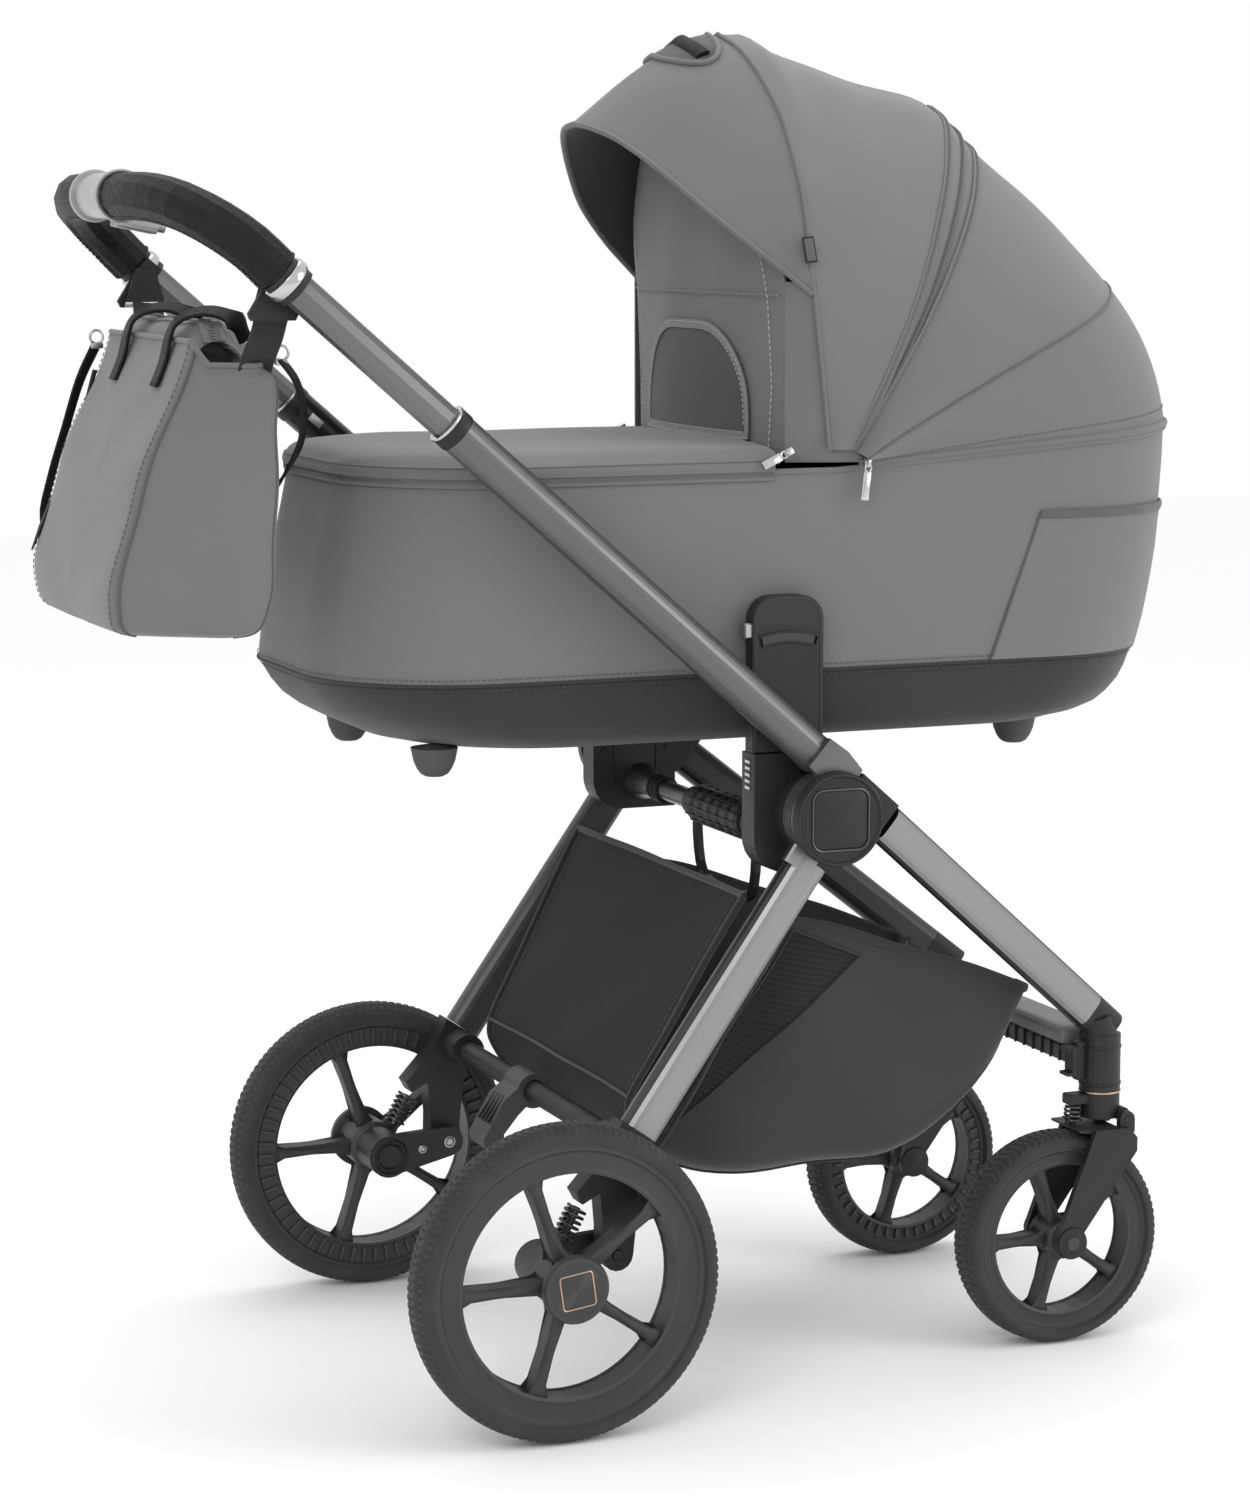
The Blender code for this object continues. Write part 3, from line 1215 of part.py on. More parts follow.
FOLD_AXIS = joint("fold_axis", (HUB[0], 0, HUB[1]))
HANDLE_AXIS = joint("handle_axis", (HUB[0], 0, HUB[1]))
TELESCOPE = joint("telescope_axis", at_side(handle_point(OUTER_TUBE[1]), 0, 1), HANDLE_AXIS)
BAG_AXIS = joint("bag_axis", (BAG_HINGE[0], 0, BAG_HINGE[1]), TELESCOPE)
COT_LIFT = joint("carrycot_lift", (0.2525, 0, COT_FLOOR_Z))
FLAP_AXIS = joint("wind_flap_axis", (0.2360, 0, 0.8760), COT_LIFT)
MIDDLE_BOW = joint("canopy_middle_axis", (CANOPY_PIVOT[0], 0, CANOPY_PIVOT[1]), COT_LIFT)
FRONT_BOW = joint("canopy_front_axis", (CANOPY_PIVOT[0], 0, CANOPY_PIVOT[1]), MIDDLE_BOW)
REAR_ARMS = {}
CASTERS = {}
FORKS = {}

wheels()
casters()
front_legs()
hubs()
fold_controls()
rear_frame()
basket()
handle()
bag()
carrycot()
canopy()
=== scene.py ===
"""Looks of the baby stroller: fabrics, stitching, zips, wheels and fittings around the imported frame.

Every place is written in metres from the middle of the rear axle line at floor level, as in the part's
source: +X to the front wheels, +Y to the pusher's left, +Z up. piece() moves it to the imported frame.
"""

import math

import bmesh
import bpy
from mathutils import Matrix, Vector


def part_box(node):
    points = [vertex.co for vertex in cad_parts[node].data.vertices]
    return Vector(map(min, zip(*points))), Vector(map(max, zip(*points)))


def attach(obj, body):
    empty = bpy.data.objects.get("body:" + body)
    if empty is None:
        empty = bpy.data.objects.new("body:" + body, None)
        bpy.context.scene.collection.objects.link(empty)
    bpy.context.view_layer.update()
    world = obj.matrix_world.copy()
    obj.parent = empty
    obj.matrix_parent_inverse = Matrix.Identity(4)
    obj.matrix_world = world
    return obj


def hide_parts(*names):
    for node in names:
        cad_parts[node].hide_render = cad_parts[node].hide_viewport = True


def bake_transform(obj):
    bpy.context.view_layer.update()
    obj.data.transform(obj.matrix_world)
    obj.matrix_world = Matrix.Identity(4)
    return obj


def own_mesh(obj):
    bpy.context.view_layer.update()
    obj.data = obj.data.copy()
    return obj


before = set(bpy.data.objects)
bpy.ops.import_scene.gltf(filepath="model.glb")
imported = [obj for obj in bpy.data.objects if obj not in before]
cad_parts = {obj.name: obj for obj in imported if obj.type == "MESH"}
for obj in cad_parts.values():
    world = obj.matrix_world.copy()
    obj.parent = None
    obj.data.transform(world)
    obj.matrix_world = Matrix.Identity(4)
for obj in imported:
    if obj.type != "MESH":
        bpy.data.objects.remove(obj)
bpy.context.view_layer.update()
LOW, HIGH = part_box("rear_tyre_R")
OX = (LOW[0] + HIGH[0]) / 2
SIDES = (("R", -1), ("L", 1))
UP = Vector((0, 0, 1))


def at(x, y, z):
    """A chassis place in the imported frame."""
    return (x + OX, y, z)


# ---------------------------------------------------------------- camera, light and floor

def stage_set():
    scene = bpy.context.scene
    scene.view_settings.view_transform = "Standard"
    camera = bpy.data.cameras.new("camera")
    camera.sensor_fit = "VERTICAL"
    camera.sensor_height = 36
    camera.lens = 92.26
    holder = bpy.data.objects.new("camera", camera)
    holder.location = at(-1.1963, -3.3673, 1.0992)
    holder.rotation_euler = (math.radians(81.81), 0, math.radians(-22.09))
    scene.collection.objects.link(holder)
    scene.camera = holder

    world = bpy.data.worlds.new("studio")
    scene.world = world
    world.use_nodes = True
    world.node_tree.nodes["Background"].inputs["Color"].default_value = (1, 1, 1, 1)
    world.node_tree.nodes["Background"].inputs["Strength"].default_value = 1.0

    def area(name, place, aim, size, power):
        lamp = bpy.data.lights.new(name, "AREA")
        lamp.shape = "RECTANGLE"
        lamp.size, lamp.size_y = size
        lamp.energy = power
        obj = bpy.data.objects.new(name, lamp)
        obj.location = place
        obj.rotation_euler = (Vector(aim) - Vector(place)).to_track_quat("-Z", "Y").to_euler()
        scene.collection.objects.link(obj)

    area("key", (-2.2, -2.6, 2.7), (0, 0, 0.7), (1.6, 1.6), 30)
    area("fill", (2.6, -2.2, 1.7), (0, 0, 0.6), (1.8, 1.8), 30)
    area("top", (0.2, 0.6, 3.2), (0, 0, 0.8), (2.2, 1.6), 16)

    mesh = bpy.data.meshes.new("floor")
    mesh.from_pydata([(-9, -9, 0), (9, -9, 0), (9, 9, 0), (-9, 9, 0)], [], [(0, 1, 2, 3)])
    floor = bpy.data.objects.new("floor", mesh)
    scene.collection.objects.link(floor)
    finish = bpy.data.materials.new("floor")
    finish.use_nodes = True
    shader = finish.node_tree.nodes["Principled BSDF"]
    shader.inputs["Base Color"].default_value = (0.97, 0.97, 0.97, 1)
    shader.inputs["Roughness"].default_value = 0.95
    shader.inputs["Specular IOR Level"].default_value = 0.0
    mesh.materials.append(finish)


# ---------------------------------------------------------------- materials

class Shade:
    """A Principled material whose colour, roughness and bump are built up from nodes."""

    def __init__(self, name, rough=0.5, metal=0.0, sheen=0.0, specular=0.5, coords="Object"):
        self.made = bpy.data.materials.new(name)
        self.made.use_nodes = True
        self.tree = self.made.node_tree
        self.shader = self.tree.nodes["Principled BSDF"]
        self.shader.inputs["Roughness"].default_value = rough
        self.shader.inputs["Metallic"].default_value = metal
        self.shader.inputs["Sheen Weight"].default_value = sheen
        self.shader.inputs["Specular IOR Level"].default_value = specular
        place = self.tree.nodes.new("ShaderNodeTexCoord")
        self.place = place.outputs[coords]
        self.object = place.outputs["Object"]
        self.normal = place.outputs["Normal"]

    def node(self, kind, _vector=None, **values):
        made = self.tree.nodes.new(kind)
        for key, value in values.items():
            setattr(made, key, value)
        if _vector is not None:
            self.tree.links.new(_vector, made.inputs["Vector"])
        return made

    def link(self, out, socket):
        if isinstance(out, (int, float)):
            socket.default_value = out
        elif isinstance(out, tuple):
            socket.default_value = (*out, 1.0) if len(out) == 3 else out
        else:
            self.tree.links.new(out, socket)

    def noise(self, scale, detail=2.0, vector=None):
        made = self.node("ShaderNodeTexNoise", vector or self.place)
        made.inputs["Scale"].default_value = scale
        made.inputs["Detail"].default_value = detail
        return made.outputs["Fac"]

    def wave(self, period, axis, distort=0.0, vector=None):
        made = self.node("ShaderNodeTexWave", vector or self.place, bands_direction=axis)
        made.inputs["Scale"].default_value = 2 * math.pi / (20 * period)
        made.inputs["Distortion"].default_value = distort
        return made.outputs["Fac"]

    def voronoi(self, scale):
        made = self.node("ShaderNodeTexVoronoi", self.place)
        made.inputs["Scale"].default_value = scale
        return made.outputs["Distance"]

    def math(self, how, a, b=0.0, c=0.0):
        made = self.tree.nodes.new("ShaderNodeMath")
        made.operation = how
        for value, socket in zip((a, b, c), made.inputs):
            self.link(value, socket)
        return made.outputs[0]

    def spread(self, value, low, high, to_low=0.0, to_high=1.0):
        made = self.tree.nodes.new("ShaderNodeMapRange")
        for name, number in (("From Min", low), ("From Max", high), ("To Min", to_low), ("To Max", to_high)):
            made.inputs[name].default_value = number
        self.link(value, made.inputs["Value"])
        return made.outputs["Result"]

    def mix(self, share, a, b):
        made = self.tree.nodes.new("ShaderNodeMix")
        made.data_type = "RGBA"
        self.link(share, made.inputs["Factor"])
        first_colour, second_colour, mixed_colour = made.inputs[6], made.inputs[7], made.outputs[2]
        self.link(a, first_colour)
        self.link(b, second_colour)
        return mixed_colour

    def bump(self, height, strength, distance=0.001):
        made = self.tree.nodes.new("ShaderNodeBump")
        made.inputs["Strength"].default_value = strength
        made.inputs["Distance"].default_value = distance
        self.link(height, made.inputs["Height"])
        self.tree.links.new(made.outputs["Normal"], self.shader.inputs["Normal"])

    def axis(self, name, source=None):
        made = self.tree.nodes.new("ShaderNodeSeparateXYZ")
        self.tree.links.new(source or self.object, made.inputs[0])
        return made.outputs[name]

    def worn(self):
        """0 to 1, high along convex edges."""
        return self.spread(self.node("ShaderNodeNewGeometry").outputs["Pointiness"], 0.51, 0.60)

    def done(self, colour, rough=None):
        self.link(colour, self.shader.inputs["Base Color"])
        if rough is not None:
            self.link(rough, self.shader.inputs["Roughness"])
        return self.made


def lighter(colour, times):
    return tuple(min(1.0, c * times) for c in colour)


def cloth(name, colour, weave=0.0011, coords="UV", contrast=0.16, rough=0.88, sheen=0.25, mesh_area=None):
    """Plain-woven cloth: warp and weft threads, flecks of single fibres, and slow unevenness of the dye."""
    s = Shade(name, rough, 0.0, sheen, 0.25, coords)
    if weave:
        threads = s.math("MULTIPLY", s.wave(weave, "X"), s.wave(weave, "Y"))
    else:
        threads = s.noise(900, 1.0, s.object)
    fibre = s.noise(1500, 3.0, s.object)
    uneven = s.noise(9, 3.0, s.object)
    share = s.math("ADD", s.math("MULTIPLY", threads, 0.45), s.math("MULTIPLY", fibre, 0.75))
    base = s.mix(share, lighter(colour, 1 - contrast), lighter(colour, 1 + contrast))
    tone = s.mix(s.spread(uneven, 0.3, 0.7), base, s.mix(0.5, base, lighter(colour, 0.90)))
    if mesh_area is not None:
        inside = mesh_area(s)
        holes = s.math("GREATER_THAN", s.math("MULTIPLY", s.wave(0.0042, "X"), s.wave(0.0042, "Y")), 0.42)
        net = s.mix(holes, (0.012, 0.012, 0.012), (0.003, 0.003, 0.003))
        tone = s.mix(inside, tone, net)
    s.bump(s.math("ADD", threads, s.math("MULTIPLY", fibre, 0.6)), 0.28, 0.0006)
    return s.done(tone, s.spread(fibre, 0.3, 0.7, rough - 0.06, rough + 0.06))


def moulded(name, colour, rough=0.5, grain=900, specular=0.42, wear=1.9, extra=None):
    """Injection-moulded plastic: a fine spark-eroded grain, and edges rubbed a little lighter."""
    s = Shade(name, rough, 0.0, 0.0, specular)
    fine = s.noise(grain, 2.0)
    slow = s.noise(22, 3.0)
    base = s.mix(fine, lighter(colour, 0.86), lighter(colour, 1.14))
    if extra:
        base = extra(s, base)
    edged = s.mix(s.math("MULTIPLY", s.worn(), 0.55), base, lighter(colour, wear))
    s.bump(fine, 0.22, 0.0005)
    return s.done(edged, s.spread(slow, 0.3, 0.7, rough - 0.07, rough + 0.07))


def tube_paint(name, side=0, turned=(0.25, 0.40), foot=None, tone=1.0):
    """Satin gunmetal outside the pram, plain black on the faces between its legs and on a moulded foot."""
    s = Shade(name, 0.34, 0.85, 0.0, 0.5)
    fine = s.noise(1400, 2.0)
    slow = s.noise(11, 2.0)
    paint = s.mix(fine, lighter((0.175, 0.175, 0.176), tone), lighter((0.225, 0.225, 0.226), tone))
    if side:
        inwards = s.math("MULTIPLY", s.axis("Y", s.normal), -side)
        black = s.spread(inwards, *turned)
        if foot is not None:
            black = s.math("MAXIMUM", black, s.math("LESS_THAN", s.axis("Z"), foot))
            s.link(s.math("MULTIPLY", s.math("SUBTRACT", 1.0, black), 0.85), s.shader.inputs["Metallic"])
        paint = s.mix(black, paint, (0.012, 0.012, 0.012))
    paint = s.mix(s.math("MULTIPLY", s.worn(), 0.12), paint, (0.36, 0.36, 0.36))
    s.bump(fine, 0.06, 0.0003)
    return s.done(paint, s.spread(slow, 0.3, 0.7, 0.29, 0.41))


def bright(name, colour=(0.62, 0.61, 0.60), rough=0.24):
    s = Shade(name, rough, 1.0)
    drawn = s.noise(420, 2.0)
    base = s.mix(drawn, lighter(colour, 0.90), lighter(colour, 1.06))
    s.bump(drawn, 0.05, 0.0003)
    return s.done(base, s.spread(s.noise(40, 3.0), 0.3, 0.7, rough - 0.06, rough + 0.10))


def tyre_rubber():
    s = Shade("foam_tyre_rubber", 0.82, 0.0, 0.1, 0.3)
    pores = s.noise(1300, 3.0)
    dust = s.noise(30, 4.0)
    base = s.mix(pores, (0.021, 0.021, 0.021), (0.040, 0.040, 0.040))
    base = s.mix(s.spread(dust, 0.45, 0.75, 0.0, 0.5), base, (0.060, 0.059, 0.058))
    s.bump(pores, 0.35, 0.0006)
    return s.done(base, s.spread(dust, 0.3, 0.7, 0.74, 0.9))


def leatherette(name, colour=(0.0048, 0.0046, 0.0046)):
    s = Shade(name, 0.50, 0.0, 0.0, 0.20)
    cells = s.voronoi(620)
    creases = s.noise(160, 4.0)
    grain = s.math("ADD", cells, s.math("MULTIPLY", creases, 0.7))
    base = s.mix(cells, lighter(colour, 0.75), lighter(colour, 1.45))
    base = s.mix(s.math("MULTIPLY", s.worn(), 0.4), base, lighter(colour, 2.2))
    s.bump(grain, 0.42, 0.0008)
    return s.done(base, s.spread(creases, 0.3, 0.7, 0.44, 0.60))


def inside_polygon(corners):
    """A mask over cloth, on a straight-sided (x, z) patch seen from the side."""
    def area(s):
        made = None
        total = sum(a[0] * b[1] - b[0] * a[1] for a, b in zip(corners, corners[1:] + corners[:1]))
        turn = 1 if total > 0 else -1
        for a, b in zip(corners, corners[1:] + corners[:1]):
            nx, nz = -(b[1] - a[1]) * turn, (b[0] - a[0]) * turn
            dot = s.node("ShaderNodeVectorMath", operation="DOT_PRODUCT")
            s.tree.links.new(s.object, dot.inputs[0])
            dot.inputs[1].default_value = (nx, 0, nz)
            edge = nx * (a[0] + OX) + nz * a[1]
            step = s.math("GREATER_THAN", dot.outputs["Value"], edge)
            made = step if made is None else s.math("MULTIPLY", made, step)
        return made
    return area


GREY = (0.150, 0.150, 0.151)
CHARCOAL = (0.034, 0.0330, 0.0336)
BASKET_NET = [(0.148, 0.235), (0.267, 0.426), (0.339, 0.395)]

FABRIC = cloth("grey_woven_fabric", GREY)
FABRIC_TRIM = cloth("grey_fabric_trim", lighter(GREY, 0.94), coords="Object")
BINDING = cloth("grey_window_binding", lighter(GREY, 1.25), coords="Object")
# A darker grey for seams, piping, hems, some stitch rows and the tag's face. Along seams, piping and hems it
# is painted shade in the creases.
SEAM_SHADE = cloth("darker_grey_and_painted_seam_shade", lighter(GREY, 0.62), coords="Object")
# DARK is the charcoal cut to 0.42 for the rear panel under the cot: a darker copy of the charcoal cloth that
# is painted shade.
DARK = cloth("charcoal_fabric", lighter(CHARCOAL, 0.42), 0.0014, contrast=0.24, sheen=0.06)
DARK_TRIM = cloth("charcoal_trim", lighter(CHARCOAL, 0.8), coords="Object")
DARK_NET = cloth("charcoal_fabric_with_net", CHARCOAL, 0.0014, contrast=0.24,
                 mesh_area=inside_polygon(BASKET_NET))
BAND = cloth("cot_band_fabric", lighter(CHARCOAL, 0.84), 0.0014, contrast=0.2)
LINING = cloth("dark_lining_fabric", (0.036, 0.036, 0.037), 0.0018, contrast=0.25, sheen=0.4)
THREAD = cloth("pale_thread", (0.42, 0.42, 0.42), coords="Object")
THREAD_DARK = cloth("dark_thread", (0.060, 0.060, 0.060), coords="Object")
WEBBING = cloth("black_webbing", (0.020, 0.020, 0.020), 0.0022, coords="Object", contrast=0.35)
PLASTIC = moulded("black_moulded_plastic", (0.013, 0.013, 0.0133), 0.48, specular=0.32)
PLASTIC_SOFT = moulded("dark_grey_plastic", (0.030, 0.030, 0.0306), 0.52)
ZIP_PLASTIC = moulded("zip_plastic", (0.075, 0.075, 0.076), 0.45)
RUBBER_FEET = moulded("grey_rubber_feet", (0.060, 0.060, 0.060), 0.75)
TUBE_DARK = tube_paint("satin_gunmetal", tone=0.66)
CHROME = bright("polished_chrome", (0.52, 0.52, 0.52), 0.20)
SILVER = bright("satin_silver", (0.44, 0.44, 0.44), 0.34)
COPPER = bright("copper_ring", (0.50, 0.36, 0.27), 0.28)
STEEL = bright("blackened_spring_steel", (0.10, 0.10, 0.102), 0.30)
LEATHER = leatherette("black_leatherette")
TYRE = tyre_rubber()


# ---------------------------------------------------------------- building pieces

def follow(obj, how):
    """how is a body's name, or (body, body, start, end) for cloth across a joint; the parts of that tuple are
    not used, and such a piece stays fixed in place.
    """
    if isinstance(how, str):
        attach(obj, how)
    else:
        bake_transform(obj)


def piece(name, verts, faces, mat, how, slot, replaces=(), uvs=None, sharp=42,
          shell=0.0, inner=None, turn=False):
    """A mesh piece. shell gives a sheet a thickness behind it, and inner is the material of its back."""
    mesh = bpy.data.meshes.new(name)
    mesh.from_pydata([(v[0] + OX, v[1], v[2]) for v in verts], [], faces)
    mesh.materials.append(mat)
    if uvs:
        layer = mesh.uv_layers.new(name="UVMap")
        layer.data.foreach_set("uv", [c for uv in uvs for c in uv])
    obj = bpy.data.objects.new(name, mesh)
    bpy.context.scene.collection.objects.link(obj)
    mesh.shade_smooth()
    if turn:
        mesh.flip_normals()
    if shell:
        back = obj.modifiers.new("shell", "SOLIDIFY")
        back.thickness = shell
        back.offset = -1.0
        if inner is not None:
            mesh.materials.append(inner)
            back.material_offset = 1
        graph = bpy.context.evaluated_depsgraph_get()
        solid = bpy.data.meshes.new_from_object(
            obj.evaluated_get(graph), preserve_all_data_layers=True, depsgraph=graph)
        obj.modifiers.clear()
        obj.data = solid
        solid.name = name
    obj.data.set_sharp_from_angle(angle=math.radians(sharp))
    follow(obj, how)
    if replaces:
        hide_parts(*((replaces,) if isinstance(replaces, str) else replaces))
    return obj


def grid(rows, around=False, caps=(False, False), ring=False):
    """(verts, faces, uvs) of a net of rows: around closes each row, ring joins the last row to the first."""
    count = len(rows[0])
    verts = [p for row in rows for p in row]
    lengths = [0.0]
    middle = rows[len(rows) // 2]
    for a, b in zip(middle, middle[1:] + middle[:1]):
        lengths.append(lengths[-1] + (b - a).length)
    heights = [0.0]
    for a, b in zip(rows, rows[1:] + rows[:1]):
        heights.append(heights[-1] + (b[count // 2] - a[count // 2]).length)
    faces, uvs = [], []
    for i in range(len(rows) - (0 if ring else 1)):
        k = (i + 1) % len(rows)
        for j in range(count - (0 if around else 1)):
            m = (j + 1) % count
            faces.append((i * count + j, i * count + m, k * count + m, k * count + j))
            uvs += [(lengths[j], heights[i]), (lengths[j + 1], heights[i]),
                    (lengths[j + 1], heights[i + 1]), (lengths[j], heights[i + 1])]
    for cap, row in zip(caps, (0, len(rows) - 1)):
        if cap:
            middle_index = len(verts)
            ring_points = rows[row]
            verts.append(sum(ring_points, Vector()) / count)
            for j in range(count):
                m = (j + 1) % count
                a, b = row * count + j, row * count + m
                face = (middle_index, b, a) if row == 0 else (middle_index, a, b)
                faces.append(face)
                uvs += [(verts[f].x, verts[f].y) for f in face]
    return verts, faces, uvs


def loft(name, rows, mat, how, slot, around=False, caps=(False, False), ring=False, **more):
    verts, faces, uvs = grid(rows, around, caps, ring)
    return piece(name, verts, faces, mat, how, slot, uvs=uvs, **more)


def frames(path, closed=False, guide=None):
    """A direction, a side and an up at each point of a path. guide gives the ups."""
    out = []
    side = None
    for i, p in enumerate(path):
        a = path[i - 1] if (i or closed) else p
        b = path[(i + 1) % len(path)] if (i < len(path) - 1 or closed) else p
        way = (b - a).normalized()
        if guide is not None:
            up = guide[i] if isinstance(guide, list) else guide
            across = way.cross(up).normalized()
        elif side is None:
            pick = UP if abs(way.z) < 0.9 else Vector((1, 0, 0))
            across = way.cross(pick).normalized()
        else:
            across = (side - way * side.dot(way)).normalized()
        side = across
        out.append((way, across, across.cross(way)))
    return out


def sweep(path, section, closed=False, guide=None, taper=None):
    """(verts, faces) of a section carried along a path. The section is (across, up) pairs."""
    verts, faces = [], []
    count = len(section)
    for i, (p, (_, across, up)) in enumerate(zip(path, frames(path, closed, guide))):
        size = taper(i / (len(path) - 1)) if taper else 1.0
        verts += [p + across * (u * size) + up * (v * size) for u, v in section]
    steps = len(path) if closed else len(path) - 1
    for i in range(steps):
        k = (i + 1) % len(path)
        for j in range(count):
            m = (j + 1) % count
            faces.append((i * count + j, i * count + m, k * count + m, k * count + j))
    if not closed:
        faces.append(tuple(range(count))[::-1])
        faces.append(tuple((len(path) - 1) * count + j for j in range(count)))
    return verts, faces


def circle(radius, sides=8):
    return [(radius * math.cos(2 * math.pi * i / sides), radius * math.sin(2 * math.pi * i / sides))
            for i in range(sides)]


def flat(width, thick, lift=0.0):
    """A strap's section, with rounded edges."""
    w, t = width / 2, thick / 2
    c = min(t * 0.8, w * 0.4)
    return [(-w, -t + c + lift), (-w + c, -t + lift), (w - c, -t + lift), (w, -t + c + lift),
            (w, t - c + lift), (w - c, t + lift), (-w + c, t + lift), (-w, t - c + lift)]


def merge(parts):
    verts, faces = [], []
    for some_verts, some_faces in parts:
        start = len(verts)
        verts += list(some_verts)
        faces += [tuple(i + start for i in face) for face in some_faces]
    return verts, faces


def box_part(centre, size, turn=None, bevel=0.25):
    """A small block with bevelled long edges, centred at a place; turn is a 3x3 of its axes."""
    bm = bmesh.new()
    bmesh.ops.create_cube(bm, size=1.0)
    bmesh.ops.scale(bm, vec=Vector(size), verts=bm.verts)
    if bevel:
        bmesh.ops.bevel(bm, geom=bm.edges[:], offset=min(size) * bevel, segments=2, affect="EDGES",
                        profile=0.5)
    matrix = Matrix.Translation(Vector(centre)) @ (turn or Matrix.Identity(3)).to_4x4()
    bmesh.ops.transform(bm, matrix=matrix, verts=bm.verts)
    bm.verts.index_update()
    out = [v.co.copy() for v in bm.verts], [tuple(v.index for v in f.verts) for f in bm.faces]
    bm.free()
    return out


def axes_of(way, up):
    """A turn whose X runs along way and whose Z is near up."""
    way = way.normalized()
    across = up.cross(way).normalized()
    return Matrix((way, across, way.cross(across))).transposed()


def lathe(profile, centre, axis, steps=48):
    """(verts, faces) turned about an axis. The profile is (radius, distance along the axis)."""
    axis = Vector(axis).normalized()
    pick = Vector((1, 0, 0)) if abs(axis.x) < 0.9 else UP
    u = axis.cross(pick).normalized()
    w = axis.cross(u)
    verts, faces = [], []
    for k in range(steps):
        a = 2 * math.pi * k / steps
        spoke = u * math.cos(a) + w * math.sin(a)
        verts += [Vector(centre) + spoke * max(r, 1e-5) + axis * d for r, d in profile]
    count = len(profile)
    for k in range(steps):
        n = (k + 1) % steps
        for j in range(count - 1):
            faces.append((k * count + j, k * count + j + 1, n * count + j + 1, n * count + j))
    return verts, faces


def parts(name, made, mat, how, slot, **more):
    verts, faces = merge(made)
    return piece(name, verts, faces, mat, how, slot, **more)


def bead(name, path, radius, mat, how, slot, sides=8, closed=False):
    """A round bead along a path: piping, a binding or a fine raised line."""
    return parts(name, [sweep(path, circle(radius, sides), closed)], mat, how, slot)


def resample(path, spacing, closed=False):
    points = list(path) + ([path[0]] if closed else [])
    total = sum((b - a).length for a, b in zip(points, points[1:]))
    count = max(2, round(total / spacing))
    out, target, run, i = [], 0.0, 0.0, 0
    for k in range(count + (0 if closed else 1)):
        target = total * k / count
        while i < len(points) - 2 and run + (points[i + 1] - points[i]).length < target:
            run += (points[i + 1] - points[i]).length
            i += 1
        step = (points[i + 1] - points[i]).length or 1e-9
        out.append(points[i].lerp(points[i + 1], min(1.0, (target - run) / step)))
    return out


def stitches(path, up, length=0.0032, gap=0.0020, radius=0.00045, closed=False):
    """A row of single stitches along a path."""
    made = []
    marks = resample(path, length + gap, closed)
    for a, b in zip(marks, marks[1:]):
        way = b - a
        if way.length < 1e-6:
            continue
        made.append(box_part(a + way * 0.32, (way.length * 0.64, radius * 2, radius * 2),
                             axes_of(way, up), 0.3))
    return made


def smooth_path(points, steps):
    points = [Vector(p) for p in points]
    ends = [2 * points[0] - points[1], *points, 2 * points[-1] - points[-2]]
    path = []
    for a, b, c, d in zip(ends, ends[1:], ends[2:], ends[3:]):
        for i in range(steps):
            t = i / steps
            path.append(0.5 * ((2 * b) + (c - a) * t + (2 * a - 5 * b + 4 * c - d) * t * t
                               + (3 * b - a - 3 * c + d) * t * t * t))
    return path + [points[-1]]


def lerp(a, b, t):
    return a + (b - a) * t


def table(pairs, where):
    if where <= pairs[0][0]:
        return pairs[0][1]
    for (x0, v0), (x1, v1) in zip(pairs, pairs[1:]):
        if where <= x1:
            return lerp(v0, v1, (where - x0) / (x1 - x0))
    return pairs[-1][1]


def arc(centre, radius, start, end, count):
    angles = [math.radians(lerp(start, end, i / (count - 1))) for i in range(count)]
    return [(centre[0] + radius * math.cos(a), centre[1] + radius * math.sin(a)) for a in angles]


def soft(p, scale, seed=0.0):
    """A smooth unevenness of about -1 to 1, for slack in cloth."""
    return (math.sin(p.x * scale + 1.7 * math.sin(p.z * scale * 0.7 + seed))
            * math.sin(p.y * scale * 1.1 + p.z * scale * 0.5 + seed))


def mirrored(points):
    return [Vector((p.x, -p.y, p.z)) for p in points]


def both_sides(half):
    return mirrored(half) + list(reversed(half[:-1]))


# ---------------------------------------------------------------- the frame's finishes

HUB = (0.2705, 0.543)
HANDLE_ANGLE = math.radians(138.9)
HANDLE_FOOT = (0.272, 0.589)
TUBE_Y = 0.236


def handle_point(along, off=0.0):
    ux, uz = math.cos(HANDLE_ANGLE), math.sin(HANDLE_ANGLE)
    return (HANDLE_FOOT[0] + along * ux + off * uz, HANDLE_FOOT[1] + along * uz - off * ux)


def handle_place(along, off=0.0, y=0.0):
    x, z = handle_point(along, off)
    return Vector((x, y, z))


